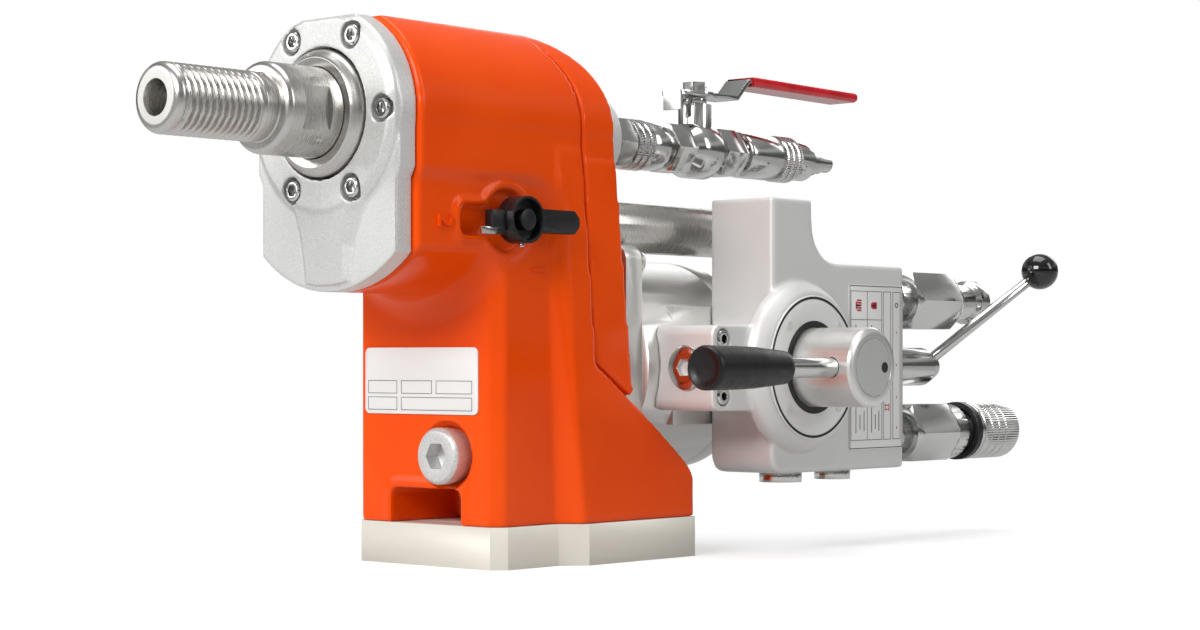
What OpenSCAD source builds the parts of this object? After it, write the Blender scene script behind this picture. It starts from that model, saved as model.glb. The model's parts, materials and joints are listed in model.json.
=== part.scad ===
// Hydraulic core drill unit: a two-speed gear head on a milled foot, driven by a gear motor behind it,
// with a control valve on its flank and a water line on the spindle axis.
// Origin: centre of the base plate's underside. The spindle points along -Y, the controls face +X, +Z is up.

/* [Base plate] */
// Length along the spindle's direction
base_len = 132; // [124:1:150]
// Thickness
base_t = 20; // [16:1:26]
// Width of the front part
base_front_w = 100; // [97:1:106]
// Width of the rear part
base_rear_w = 120; // [114:1:130]
// Chamfer on the front upright corners
base_chamfer = 6; // [3:0.5:9]
// Length of the narrow front part
base_front_len = 41; // [34:1:48]
// Length of the slanted step between the two widths
base_step_len = 11; // [8:1:16]
// Radius of the four tapped holes in the underside
base_hole_r = 5; // [4:0.5:6]
// Hole spacing across
base_hole_x = 70; // [64:1:76]
// Hole spacing along
base_hole_y = 60; // [54:1:64]

/* [Spindle] */
// Height of the spindle axis above the underside
spindle_h = 212; // [208:1:222]
// Outer diameter of the nose thread
thread_d = 31.75; // [28:0.25:34]
// Length of the nose thread
thread_len = 53; // [44:1:58]
// How far the nose stands out of the front cover
nose_reach = 95; // [88:1:110]
// Diameter of the body behind the thread
spindle_body_d = 42; // [40.5:0.5:46]
// Diameter in the front bearing
spindle_front_d = 40; // [36:1:40]
// Diameter in the gears and the rear bearing
spindle_rear_d = 30; // [26:1:32]
// Diameter of the water bore
water_bore_d = 14; // [10:1:16]
// Across the wrench flats
flats_w = 37; // [34:0.5:39]

/* [Gear head] */
// How far the head stands out in front of the foot
head_overhang = 51.5; // [46:0.5:60]
// Thickness of the front cover
cover_t = 15.3; // [13:0.1:20]
// Radius of the head round the spindle
head_r = 48.5; // [47.5:0.5:52]
// Height of the head's flat top above the spindle axis
head_top = 45; // [44:0.5:46]
// Wall of the casting round the gears
head_wall = 5.5; // [4:0.5:6]
// Thickness of the front wall that holds the bearings
front_wall_t = 15; // [13:1:18]
// Pitch circle of the front cover's screws
cover_pcd = 80; // [78:1:82]
// Depth of the rear cover at the spindle
rear_cover_t = 24; // [22:1:28]
// How far the head's rear face lies in front of the foot's rear edge
rear_inset = 41.5; // [38:0.5:44]

/* [Gears] */
// Tooth size: pitch diameter over tooth count
module_mm = 2; // [1.95:0.05:2.05]
// Teeth of the spindle's low-speed gear
low_wheel_z = 34; // [33:1:35]
// Teeth of the layshaft's low-speed pinion
low_pinion_z = 18; // [17:1:19]
// Teeth of the layshaft's high-speed pinion
high_pinion_z = 22; // [21:1:23]
// Teeth of the layshaft's input gear
input_wheel_z = 34; // [33:1:35]
// Teeth of the motor's pinion
motor_pinion_z = 30; // [29:1:31]
// Face width of each gear
gear_w = 14; // [10:1:14]
// Diameter of the layshaft
layshaft_d = 17; // [15:1:19]
// Shift travel of the sleeve between its two gears
shift_travel = 11.3; // [10:0.1:12]

/* [Motor] */
// Diameter of the motor body
motor_d = 109; // [104:1:112]
// Length of the motor behind its flange
motor_len = 86; // [80:1:92]
// Thickness of the motor flange
flange_t = 12; // [10:1:14]
// Flange width
flange_w = 100; // [98:1:102]
// Flange height
flange_h = 120; // [116:1:124]
// Diameter of the motor shaft
motor_shaft_d = 18; // [16:1:20]

/* [Control block] */
// Width of the block from the motor pad outwards
block_w = 40; // [38:1:46]
// Height of the block's main body
block_h = 108; // [100:1:116]
// Length of the block's main body
block_len = 115.5; // [110:0.5:126]
// Height of the tower's top
tower_top = 181; // [180:1:186]
// Length of the tower
tower_len = 33.5; // [30:0.5:38]
// Diameter of the dial plate
dial_d = 74; // [68:1:78]
// Diameter of the selector knob
knob_d = 40; // [36:1:42]
// Length of the selector knob
knob_len = 36.5; // [32:0.5:40]
// Distance between the two hydraulic ports
port_gap = 73; // [70:1:78]
// Swing of the selector to each side
selector_swing = 28; // [20:1:30]

/* [Water line] */
// Diameter of the water swivel housing
swivel_d = 48; // [44:1:50]
// Length of the water swivel housing
swivel_len = 38; // [34:1:44]
// Length of the ball valve body
valve_len = 54.6; // [48:0.2:60]
// Length of the ball valve's lever
valve_lever_len = 138; // [120:1:150]

/* [Hidden] */
$fn = 64;

// Clearances: a running shaft's radial play, and the gap between different moving bodies
fit = 0.03;
gap = 0.3;

// Stations along Y
y_front = -base_len / 2;
y_rear = base_len / 2;
y_head = y_front - head_overhang;
y_pad = y_head - cover_t;
y_nose = y_pad - nose_reach;
y_wall = y_head + front_wall_t;
y_back = y_rear - rear_inset;
y_swivel = y_back - 9.5;
seam_y = y_swivel - rear_cover_t;
top_z = spindle_h + head_top;
half_w = base_front_w / 2;
rear_half = base_rear_w / 2;

// Screws that hold the base plate: a pair at the front, and a pair between the holes in the underside
screw_x = half_w - 12;
screw_ys = [y_front + 14, base_hole_y / 2 - 14.4];

// Foot: the slot's size, and the clamp bolt's sideways place, height and head radius
slot_w = 47;
slot_h = 17;
bolt_x = 15;
bolt_z = base_t + 33;
bolt_r = 13.5;

// Front bearing's outer size, seal carrier's radius and how far it stands out, radius of the spindle's tail
front_bearing_d = 68;
seal_r = spindle_body_d / 2 + 8.5;
seal_out = 5;
spindle_tail_r = 12;

// Rear bearings: outer size and width at the spindle and at the layshaft, and the layshaft's front bush
rear_bearing_d = 55;
rear_bearing_w = 13;
lay_bearing_d = 40;
lay_bearing_w = 12;
bush_r = 13;
bush_w = 9;

// Rear cover's tongue between the motor's flange and the housing
tongue_w = 78;
tongue_drop = 36;
tongue_y = y_back - 16;

// Shaft heights. Both gear pairs share one distance, which sets the spindle's high-speed gear.
high_wheel_z = low_wheel_z + low_pinion_z - high_pinion_z;
low_sum = (low_wheel_z + low_pinion_z) * module_mm / 2;
lay_z = spindle_h - low_sum;
motor_z = lay_z - (input_wheel_z + motor_pinion_z) * module_mm / 2;

// Gear stations, front faces
y_high = y_wall + 12.5;
y_low = y_high + 46;
y_input = y_low + 18;

// Shift mechanism
lever_crank = shift_travel / sqrt(2);
lever_y = y_high + gear_w + 1.2 + 9 + shift_travel / 2;
lever_z = lay_z + 4;
sleeve_w = 18;
sleeve_y = y_high + gear_w + 1.2;
sleeve_r = 20;
groove_r = 15;
groove_y = 5;
fork_y = sleeve_y + groove_y + gap;
fork_w = sleeve_w - 2 * groove_y - 2 * gap;
rail_x = -36;
rail_r = 4;
lever_x = half_w + 2;
cup_r = 11;
cup_out = 11.5;

// Motor stations
motor_y = y_back + flange_t;
motor_end = motor_y + motor_len;
end_cover_t = 16;
motor_gear_r = 15;
motor_gear_w = 29;
motor_gear_y = motor_end - end_cover_t - motor_gear_w - 0.5;
pad_x = 50;

// Control block stations
block_y = motor_y + 54.5;
block_rear = block_y + block_len;
block_x = pad_x + block_w;
dial_z = motor_z - 1;
dial_y = block_y + 21.5;
block_low = dial_z - block_h / 2;
block_top = dial_z + block_h / 2;
dial_face = block_x + 10;
port_x = pad_x + block_w / 2 - 1;
tube_x = 24;
tube_z = 166;
tube_r = 12.8;
tube_seat_y = block_y + tower_len + 19.5;
lug_y = motor_y + 7.5;
lug_low = dial_z - 21.5;
lug_top = dial_z + 21;
fillet_r = 22;
spool_r = 15;
spool_neck_r = 8;
// Selector's rod, and its grip's length and distance from the knob
rod_r = 5;
grip_near = 38.5;
grip_len = 61;
port_bore_r = 9;
// Plugs in the block's underside: X, Y and head radius
bottom_plugs = [[pad_x + 25, block_y + 26, 11], [pad_x + 25, block_y + 71, 9.5], [pad_x + 12, block_y + 92, 7]];
label_low_y = dial_y + dial_d / 2 + 6.5;
label_len = block_rear - 1.6 - label_low_y;
label_h = 87;
tube_nut = 28;
tube_nut_y = y_swivel + 3;

// Flow lever: the ball leans outwards from upright by this angle
flow_lean = 33;
flow_ball_r = 64.7;
hub_y = block_rear + gap;
hub_len = 56;
hub_end = hub_y + hub_len;
flow_ball_size = 10.3;
// The rod runs from the hub's cone to the ball
rod_start = [port_x + 3 * sin(flow_lean), hub_end - 5, dial_z + 3 * cos(flow_lean)];
ball_at = [port_x + flow_ball_r * sin(flow_lean), hub_y + 115, dial_z + flow_ball_r * cos(flow_lean)];

// Hydraulic couplings: where they start, and the lower one's outer sleeve
coupling_y = block_rear + 23;
coupling_len = 102;
coupling_r = 13.4;
sleeve_travel = 8;

// Water line stations
swivel_end = y_swivel + swivel_len;
collar_y = swivel_end + 24;
valve_y = collar_y + 33;
valve_end = valve_y + valve_len;
stem_y = valve_y + 29;
stem_top = spindle_h + 29;
nipple_y = valve_end + 6;
inlet_r = 10.2;
nipple_r = 9.8;
collar_travel = 4;
stem_r = 4;
lever_t = 2.4;
lever_base = stem_top + 0.2;

orange = "orangered";
steel = "silver";
alloy = "gainsboro";
dark = "#202020";

// ---------- helpers ----------

// Stand something built along +Z so that it runs along +Y from a point
module along_y(x, y, z) translate([x, y, z]) rotate([-90, 0, 0]) children();

// Stand something built along +Z so that it runs along +X from a point
module along_x(x, y, z) translate([x, y, z]) rotate([0, 90, 0]) children();

// A solid of revolution from its [radius, height] outline
module turned(outline) rotate_extrude() polygon(outline);

// A tube with a round hole
module ring(outer_r, inner_r, h) difference() {
    cylinder(r = outer_r, h = h);
    translate([0, 0, -1]) cylinder(r = inner_r, h = h + 2);
}

// A hexagonal bar, across its flats
module hex_bar(across, h) cylinder(d = across / cos(30), h = h, $fn = 6);

// A socket cap head with its hexagon socket, standing along +Z
module cap_head(d, h, across) difference() {
    turned([[0, 0], [d / 2, 0], [d / 2, h - 0.8], [d / 2 - 0.8, h], [0, h]]);
    translate([0, 0, h * 0.4]) hex_bar(across, h);
}

// Extrude a [Y, Z] outline along X between two stations
module across_x(x0, x1) translate([x0, 0, 0]) rotate([90, 0, 90]) linear_extrude(x1 - x0) children();

// Extrude an [X, Z] outline along Y between two stations
module down_y(y0, y1) translate([0, y1, 0]) rotate([90, 0, 0]) linear_extrude(y1 - y0) children();

// Half of a tooth's width in degrees at radius rho, for an involute flank with a little play
function roll_angle(a) = tan(a) * 180 / PI - a;
function tooth_half(z, r, rho) =
    90 / z + roll_angle(20) - roll_angle(acos(min(1, r * cos(20) / rho))) - 0.08 / r * 180 / PI;

// A spur gear standing along +Z. A tooth points along its turn angle, plus half a pitch where gap_first is set.
module spur(z, w, bore_r, turn, gap_first = false) {
    r = z * module_mm / 2;
    rho = [r - 1.2 * module_mm, r - 0.5 * module_mm, r, r + 0.5 * module_mm, r + 0.92 * module_mm];
    start = turn + (gap_first ? 180 / z : 0);
    points = [for (i = [0 : z - 1]) for (side = [-1, 1]) for (k = [0 : 4])
        let (n = side < 0 ? k : 4 - k, a = start + i * 360 / z + side * tooth_half(z, r, rho[n]))
        [rho[n] * cos(a), rho[n] * sin(a)]];
    difference() {
        linear_extrude(w) polygon(points);
        translate([0, 0, -1]) cylinder(r = bore_r, h = w + 2);
    }
}

// A deep-groove bearing along +Z: two rings with balls between them
module bearing(bore_d, outer_d, w) {
    mid = (bore_d + outer_d) / 4;
    wall = (outer_d - bore_d) / 2 * 0.3;
    ball_r = (outer_d - bore_d) / 4 - wall / 2 - 0.4;
    difference() {
        ring(outer_d / 2, outer_d / 2 - wall, w);
        translate([0, 0, w / 2]) rotate_extrude() translate([mid, 0]) circle(ball_r + 0.35);
    }
    difference() {
        ring(bore_d / 2 + wall, bore_d / 2, w);
        translate([0, 0, w / 2]) rotate_extrude() translate([mid, 0]) circle(ball_r + 0.35);
    }
    for (i = [0 : 9]) rotate([0, 0, i * 36]) translate([mid, 0, w / 2]) sphere(ball_r, $fn = 24);
}

// A sheet outline with its low corner at the origin and round corners
module rounded_sheet(w, h, r) for (x = [r, w - r], y = [r, h - r]) {
    translate([x, y]) circle(r);
    translate([r, 0]) square([w - 2 * r, h]);
    translate([0, r]) square([w, h - 2 * r]);
}

// The head's outline in [X, Z]: round above, straight-sided below, with an arc underneath
module head_outline(r, upper, lower, jog_z, flat_top) {
    arc_r = lower + 22;
    intersection() {
        union() {
            translate([0, spindle_h]) circle(r);
            translate([-upper, jog_z]) square([2 * upper, spindle_h - jog_z]);
            polygon([[-lower, lay_z - 30], [lower, lay_z - 30], [lower, jog_z - 5], [upper, jog_z],
                [-upper, jog_z], [-lower, jog_z - 5]]);
        }
        translate([0, lay_z - 30 + arc_r]) circle(arc_r, $fn = 96);
        translate([-80, 0]) square([160, flat_top]);
    }
}

// The base plate's outline in [X, Y]
module base_outline() polygon([
    for (s = [-1, 1]) each (s < 0 ? [
        [-half_w + base_chamfer, y_front], [-half_w, y_front + base_chamfer],
        [-half_w, y_front + base_front_len], [-rear_half, y_front + base_front_len + base_step_len],
        [-rear_half, y_rear]] : [
        [rear_half, y_rear], [rear_half, y_front + base_front_len + base_step_len],
        [half_w, y_front + base_front_len], [half_w, y_front + base_chamfer],
        [half_w - base_chamfer, y_front]])]);

function reverse(list) = [for (i = [len(list) - 1 : -1 : 0]) list[i]];

// Rounded corner points: a quarter ellipse in [Y, Z], from its end angle to its start angle
function corner(cy, cz, ry, rz, a0, a1) =
    [for (i = [0 : 8]) let (a = a0 + (a1 - a0) * i / 8) [cy + ry * cos(a), cz + rz * sin(a)]];

// The seam between housing and rear cover, from top to bottom, in [Y, Z]
seam_c = y_head + 82.5;
seam_foot_z = motor_z + 4;
cover_foot_z = motor_z - 10;
function seam() = concat([[seam_c - 0.5, top_z]],
    corner(seam_c, spindle_h, seam_y - seam_c, head_top, 80, 0),
    [[0, seam_foot_z], [y_back, cover_foot_z - 3.5]]);
// The rear cover's side profile, in [Y, Z]
function cover_profile() = concat([[seam_c - 0.5, top_z]],
    corner(seam_c + 10, spindle_h, y_swivel - seam_c - 10, head_top, 90, 0),
    [[y_back, cover_foot_z], [y_back, cover_foot_z - 2], [0, seam_foot_z]],
    reverse(corner(seam_c, spindle_h, seam_y - seam_c, head_top, 80, 0)));

module base_holes(r, z0, h) for (x = [-1, 1], y = [-1, 1])
    translate([x * base_hole_x / 2, y * base_hole_y / 2, z0]) cylinder(r = r, h = h);

module base_screw_places() for (x = [-1, 1], y = screw_ys) translate([x * screw_x, y, 0]) children();

// ---------- foot ----------

module base_plate() color(alloy) difference() {
    linear_extrude(base_t) base_outline();
    base_holes(base_hole_r, -1, 15);
    base_screw_places() {
        translate([0, 0, -1]) cylinder(r = 7.5, h = 10);
        translate([0, 0, -1]) cylinder(r = 4.5, h = base_t + 2);
    }
}

module base_screws() color(steel) base_screw_places() {
    translate([0, 0, 1]) cylinder(r = 6.5, h = 8);
    translate([0, 0, 9]) cylinder(r = 4, h = base_t + 5);
}

module clamp_bolt() color(steel) along_y(bolt_x, y_front - 7, bolt_z) {
    difference() {
        turned([[0, 0], [bolt_r - 1.5, 0], [bolt_r, 1.5], [bolt_r, 7], [bolt_r - 1, 12.7], [8, 12.7], [8, 48],
            [0, 48]]);
        translate([0, 0, -1]) hex_bar(12, 9);
    }
}

// ---------- gear head ----------

// Half width of the rear part at a height, for the foot's flare
module flare_outline() polygon([[-rear_half, base_t], [rear_half, base_t], [half_w + 1.5, lay_z + 20],
    [half_w, top_z], [-half_w, top_z], [-half_w - 1.5, lay_z + 20]]);

// Inside of the head: room for the shafts, gears and shift fork, round a boss for the layshaft's bush
module gear_room_slice(y0, y1, lay_r) down_y(y0, y1) {
    translate([0, spindle_h]) circle(head_r - head_wall);
    translate([0, lay_z]) circle(lay_r);
    translate([-head_r + head_wall, lay_z - 8]) square([2 * (head_r - head_wall), spindle_h - lay_z + 8]);
}
module gear_room() difference() {
    union() {
        gear_room_slice(y_wall, y_front + 7, 26.5);
        gear_room_slice(y_front + 6, y_back, input_wheel_z * module_mm / 2 + 3.5);
    }
    along_y(0, y_wall - 1, lay_z) cylinder(r = bush_r + 4, h = bush_w + 1);
}

module gear_housing() color(orange) difference() {
    union() {
        down_y(y_head, y_front + 30) head_outline(head_r + 1.5, half_w, half_w - 1.5, lay_z + 26, top_z);
        difference() {
            intersection() {
                translate([0, 0, base_t]) linear_extrude(lay_z + 40 - base_t) base_outline();
                across_x(-rear_half, rear_half) polygon(concat(
                    [[y_front, lay_z + 40], [y_front, base_t], [y_rear, base_t], [y_rear, base_t + 18],
                    [y_rear - 3, base_t + 26], [y_rear - 11, base_t + 32.6]], reverse(seam())));
                down_y(y_front, y_rear) flare_outline();
            }
            translate([-flange_w / 2 - 0.5, y_back, motor_z - flange_h / 2 - 0.5])
                cube([flange_w + 1, flange_t + 9, flange_h]);
            along_y(0, y_back, motor_z) cylinder(d = motor_d + 2, h = 60);
        }
        // the casting's upper rear part, up to the seam
        intersection() {
            down_y(y_front, y_back) {
                head_outline(head_r + 3, half_w + 1, half_w + 1, lay_z + 30, top_z);
                flare_outline();
            }
            across_x(-rear_half, rear_half) polygon(concat([[y_front, lay_z - 20], [y_front, top_z]], seam()));
            down_y(y_front, y_back) union() {
                translate([0, spindle_h]) circle(half_w + 3);
                translate([-rear_half, 0]) square([2 * rear_half, spindle_h]);
            }
        }
        // fillet under the overhang
        intersection() {
            difference() {
                translate([-half_w, y_front - 16, lay_z - 28 - 16]) cube([2 * half_w, 17, 34]);
                along_x(-half_w - 1, y_front - 16, lay_z - 28 - 16) cylinder(r = 16, h = 2 * half_w + 2);
            }
            translate([-half_w + 2.5, y_front - 20, 0]) cube([2 * half_w - 5, 30, top_z]);
        }
    }
    gear_room();
    along_y(0, y_head - 1, spindle_h) cylinder(d = front_bearing_d, h = front_wall_t + 2);
    along_y(0, y_wall, lay_z) cylinder(r = bush_r, h = bush_w + 1);
    // motor shaft chamber, with its pinion's room
    along_y(0, y_low, motor_z) cylinder(r = motor_pinion_z * module_mm / 2 + 4, h = tongue_y - y_low + 1);
    // seat of the rear cover's tongue
    translate([-tongue_w / 2, tongue_y, motor_z - tongue_drop]) cube([tongue_w, 40, tongue_drop + 10]);
    // slot and clamp bolt seat
    translate([bolt_x - 14 - slot_w / 2, y_front - 1, base_t - 1]) cube([slot_w, 47, slot_h + 1]);
    along_y(bolt_x, y_front - 1, bolt_z) cylinder(r = bolt_r + 2.5, h = 3);
    along_y(bolt_x, y_front - 1, bolt_z) cylinder(r = bolt_r + gap, h = 7);
    along_y(bolt_x, y_front - 1, bolt_z) cylinder(r = 8 + fit, h = 45);
    // gear lever's shaft bore and fork rail's seat
    along_x(0, lever_y, lever_z) cylinder(r = 6 + fit, h = 80);
    along_y(rail_x, y_wall - 8, lay_z) cylinder(r = rail_r, h = 9);
    front_cover_screw_places() cylinder(r = 3, h = 13);
    base_screw_places() translate([0, 0, base_t - 1]) cylinder(r = 4, h = 17);
    // the rear cover's screws
    rear_cover_screw_places(seam_y + 10) rotate([180, 0, 0]) cylinder(r = 3, h = 26);
    // motor flange screws
    motor_screw_places(y_back) rotate([180, 0, 0]) cylinder(r = 4, h = 14);
}

module rear_cover() color(orange) difference() {
    union() {
        intersection() {
            across_x(-rear_half, rear_half) polygon(cover_profile());
            down_y(y_front, y_back + 1) union() {
                head_outline(head_r + 3, half_w + 1, half_w + 1, lay_z + 30, top_z);
                flare_outline();
            }
            down_y(y_front, y_back + 1) union() {
                translate([0, spindle_h]) circle(half_w + 3);
                translate([-rear_half, 0]) square([2 * rear_half, spindle_h]);
            }
        }
        translate([-tongue_w / 2 + 0.1, tongue_y, motor_z - tongue_drop])
            cube([tongue_w - 0.2, y_back - tongue_y, tongue_drop + 10]);
    }
    along_y(0, seam_y - 40, spindle_h) cylinder(d = rear_bearing_d, h = 40 + rear_bearing_w);
    along_y(0, seam_y - 1, spindle_h) cylinder(r = spindle_rear_d / 2 + 1, h = 60);
    along_y(0, y_swivel, spindle_h) cylinder(d = swivel_d + 1, h = 30);
    along_y(tube_x, tube_nut_y, tube_z) cylinder(r = tube_nut / 2 / cos(30) + 0.3, h = 30);
    along_y(0, seam_y - 40, lay_z) cylinder(d = lay_bearing_d, h = 40 + lay_bearing_w + 1.5);
    along_y(0, seam_y, motor_z) cylinder(r = motor_shaft_d / 2 + 2, h = 60);
    rear_cover_screw_places(y_swivel - 4) {
        rotate([180, 0, 0]) cylinder(r = 3.3, h = 60);
        cylinder(r = 6, h = 60);
    }
    motor_screw_places(y_back) rotate([180, 0, 0]) cylinder(r = 4, h = 40);
    along_y(tube_x, y_swivel - 1, tube_z) cylinder(r = tube_r + 0.01, h = 30);
}
module rear_cover_screw_places(y)
    for (p = [[-36, spindle_h + 14], [36, spindle_h + 14], [-42, lay_z + 20], [42, lay_z + 36]])
        along_y(p[0], y, p[1]) children();

module rear_cover_screws() color(steel) rear_cover_screw_places(y_swivel - 4) {
    cap_head(10, 6, 5);
    rotate([180, 0, 0]) cylinder(r = 3, h = 30);
}

module front_cover_screw_places() for (a = [30 : 60 : 330])
    along_y(cover_pcd / 2 * sin(a), y_head, spindle_h + cover_pcd / 2 * cos(a)) children();

rib_w = 14;
module front_cover() color(alloy) difference() {
    union() {
        down_y(y_head - cover_t + 4.5, y_head)
            head_outline(head_r, half_w - 2, half_w - 4.6, lay_z + 26, top_z);
        down_y(y_pad, y_head) intersection() {
            union() {
                translate([0, spindle_h]) circle(r = head_r - 2.5);
                polygon([[-30, spindle_h - 20], [30, spindle_h - 20], [rib_w, lay_z + 4],
                    [rib_w - 7, lay_z - 12], [7 - rib_w, lay_z - 12], [-rib_w, lay_z + 14]]);
            }
            translate([-80, 0]) square([160, top_z - 2]);
        }
    }
    along_y(0, y_pad - 1, spindle_h) cylinder(r = seal_r, h = cover_t + 2);
    front_cover_screw_places() {
        translate([0, 0, -cover_t - 1]) cylinder(r = 3.3, h = cover_t + 2);
        translate([0, 0, -cover_t - 1]) cylinder(r = 5.8, h = 7.3);
    }
}

module front_cover_screws() color(steel) front_cover_screw_places() {
    translate([0, 0, -cover_t + 6.3]) rotate([180, 0, 0]) cap_head(9.6, 6, 5);
    translate([0, 0, -cover_t + 6.3]) cylinder(r = 3, h = cover_t + 5.5);
}

// Seal carrier pressed in the front cover, round the spindle's body
module spindle_seal() color(steel) along_y(0, y_pad - seal_out, spindle_h)
    turned([[spindle_body_d / 2 + gap, 0.6], [spindle_body_d / 2 + 3, 0.6], [seal_r - 4, 0],
        [seal_r - 0.4, seal_out - 1.4], [seal_r, seal_out], [seal_r, cover_t + seal_out - 0.5],
        [spindle_body_d / 2 + gap, cover_t + seal_out - 0.5]]);

plate_w = 77;
plate_h = 32;
module nameplate() color("lightgrey") translate([-1.75 - plate_w / 2, 0, base_t + 52.7])
    down_y(y_front - 0.8, y_front) rounded_sheet(plate_w, plate_h, 3);

// ---------- spindle ----------

module spindle() color(steel) along_y(0, y_nose, spindle_h) difference() {
    turned([[0, 0], [thread_d / 2 - 3, 0], [thread_d / 2, 4], [thread_d / 2, thread_len],
        [thread_d / 2 - 0.6, thread_len + 0.6], [thread_d / 2 - 0.6, thread_len + 4],
        [spindle_body_d / 2 - 1.5, thread_len + 5], [spindle_body_d / 2, thread_len + 8],
        [spindle_body_d / 2, nose_reach + cover_t], [spindle_front_d / 2, nose_reach + cover_t],
        [spindle_front_d / 2, nose_reach + cover_t + front_wall_t + 1.5],
        [spindle_rear_d / 2, nose_reach + cover_t + front_wall_t + 1.5],
        [spindle_rear_d / 2, y_swivel - y_nose + 4],
        [spindle_tail_r, y_swivel - y_nose + 4], [spindle_tail_r, swivel_end - y_nose - 9],
        [0, swivel_end - y_nose - 9]]);
    translate([0, 0, -1]) cylinder(d = water_bore_d, h = swivel_end - y_nose + 10);
    // wrench flats
    for (s = [-1, 1]) translate([s * (flats_w / 2 + 10) - 10, -40, thread_len + 15]) cube([20, 80, 16]);
}

module spindle_front_bearing() color(steel) along_y(0, y_head, spindle_h)
    bearing(spindle_front_d + 2 * fit, front_bearing_d, front_wall_t);
module spindle_rear_bearing() color(steel) along_y(0, seam_y, spindle_h)
    bearing(spindle_rear_d + 2 * fit, rear_bearing_d, rear_bearing_w);
module spindle_high_gear() color("slategrey") along_y(0, y_high, spindle_h)
    spur(high_wheel_z, gear_w, spindle_rear_d / 2, 90);
module spindle_low_gear() color("slategrey") along_y(0, y_low, spindle_h)
    spur(low_wheel_z, gear_w, spindle_rear_d / 2, 90);

// ---------- layshaft ----------

module layshaft() color(steel) along_y(0, y_wall + 0.5, lay_z)
    cylinder(d = layshaft_d, h = seam_y + lay_bearing_w - y_wall - 0.5);
module layshaft_input_gear() color("slategrey") along_y(0, y_input, lay_z)
    spur(input_wheel_z, gear_w, layshaft_d / 2, 90);
module layshaft_high_pinion() color("slategrey") along_y(0, y_high, lay_z)
    spur(high_pinion_z, gear_w, layshaft_d / 2, -90, true);
module layshaft_low_pinion() color("slategrey") along_y(0, y_low, lay_z)
    spur(low_pinion_z, gear_w, layshaft_d / 2 + fit, -90, true);
module layshaft_bearings() color(steel) {
    along_y(0, y_wall, lay_z) ring(bush_r, layshaft_d / 2 + fit, bush_w);
    along_y(0, seam_y, lay_z) bearing(layshaft_d + 2 * fit, lay_bearing_d, lay_bearing_w);
}

// ---------- shift ----------

// The fork runs in a groove of the sleeve
module shift_sleeve() color(steel) along_y(0, sleeve_y, lay_z)
    turned([[layshaft_d / 2 + fit, 0], [sleeve_r - 2, 0], [sleeve_r, 2], [sleeve_r, groove_y],
        [groove_r, groove_y], [groove_r, sleeve_w - groove_y], [sleeve_r, sleeve_w - groove_y],
        [sleeve_r, sleeve_w - 2],
        [sleeve_r - 2, sleeve_w], [layshaft_d / 2 + fit, sleeve_w]]);

module shift_fork() color("dimgrey") difference() {
    union() {
        along_y(0, fork_y, lay_z) ring(sleeve_r + 4, groove_r + gap, fork_w);
        translate([rail_x - 6, fork_y - 6, lay_z - 6]) cube([12, fork_w + 12, 12]);
        translate([rail_x + 4, fork_y, lay_z - 6]) cube([14, fork_w, 12]);
        translate([sleeve_r + 0.5, fork_y - 2.5, lay_z - 8]) cube([8, fork_w + 5, 16]);
    }
    along_y(rail_x, sleeve_y - 10, lay_z) cylinder(r = rail_r + fit, h = 40);
    // slot that the crank pin runs in
    translate([23.5, lever_y - shift_travel / 2 - 3 - 0.4, lay_z - 9]) cube([10, 6.8, 20]);
    along_y(0, sleeve_y - 10, lay_z) cylinder(r = groove_r + gap, h = 40);
    along_y(0, fork_y - 8, lay_z) cylinder(r = sleeve_r + gap, h = 8);
    along_y(0, fork_y + fork_w, lay_z) cylinder(r = sleeve_r + gap, h = 8);
}

module fork_rail() color(steel) along_y(rail_x, y_wall - 8, lay_z)
    cylinder(r = rail_r, h = y_low - y_wall + 8 + gear_w);

// ---------- gear lever ----------

module gear_lever() color(dark) {
    along_x(lever_x + 1.4, lever_y, lever_z) difference() {
        cylinder(r = cup_r, h = cup_out - 1.4);
        translate([0, 0, 5]) ring(cup_r - 1.2, 5, 20);
        translate([0, 0, -1]) cylinder(r = 5, h = 4.4);
    }
    difference() {
        translate([lever_x + 2.6, lever_y, lever_z - 5.5]) cube([6.5, 38, 11]);
        along_x(lever_x, lever_y, lever_z) cylinder(r = cup_r - 0.6, h = 30);
        for (s = [-1, 1]) translate([lever_x, lever_y + 38, lever_z + s * 5.5]) rotate([45, 0, 0])
            translate([0, -2.4, -2.4]) cube([20, 4.8, 4.8]);
    }
    difference() {
        translate([lever_x + 2.6, lever_y - cup_r - 9, lever_z - 4]) cube([5, 12, 8]);
        along_x(lever_x, lever_y, lever_z) cylinder(r = cup_r - 0.6, h = 30);
    }
}

module gear_lever_shaft() color(steel) {
    along_x(34, lever_y, lever_z) cylinder(r = 6, h = lever_x - 34 + 1.4);
    along_x(lever_x + 1.4, lever_y, lever_z) cylinder(r = 5, h = 3.4);
    along_x(30, lever_y, lever_z) cylinder(r = lever_crank + 3.5, h = 4);
    along_x(24, lever_y - shift_travel / 2, lever_z - shift_travel / 2) cylinder(r = 3, h = 6);
}

module gear_lever_latch() color(steel) {
    translate([lever_x + 3.4, lever_y - cup_r - 15, lever_z - 7.2]) cube([3, 15, 3.2]);
    along_x(lever_x + 7, lever_y, lever_z) translate([cup_r, 0, 0]) rotate([0, 90, 0])
        cylinder(r = 1.2, h = 1.6);
}

// ---------- motor ----------

module motor_screw_places(y) for (x = [-1, 1], z = [-1, 1])
    along_y(x * (flange_w / 2 - 10), y, motor_z + z * (flange_h / 2 - 8)) children();

module motor_gear_room(y0, h) {
    along_y(0, y0, motor_z) cylinder(r = motor_gear_r + 3.4, h = h);
    along_y(0, y0, motor_z - 2 * motor_gear_r) cylinder(r = motor_gear_r + 3.4, h = h);
}

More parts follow.
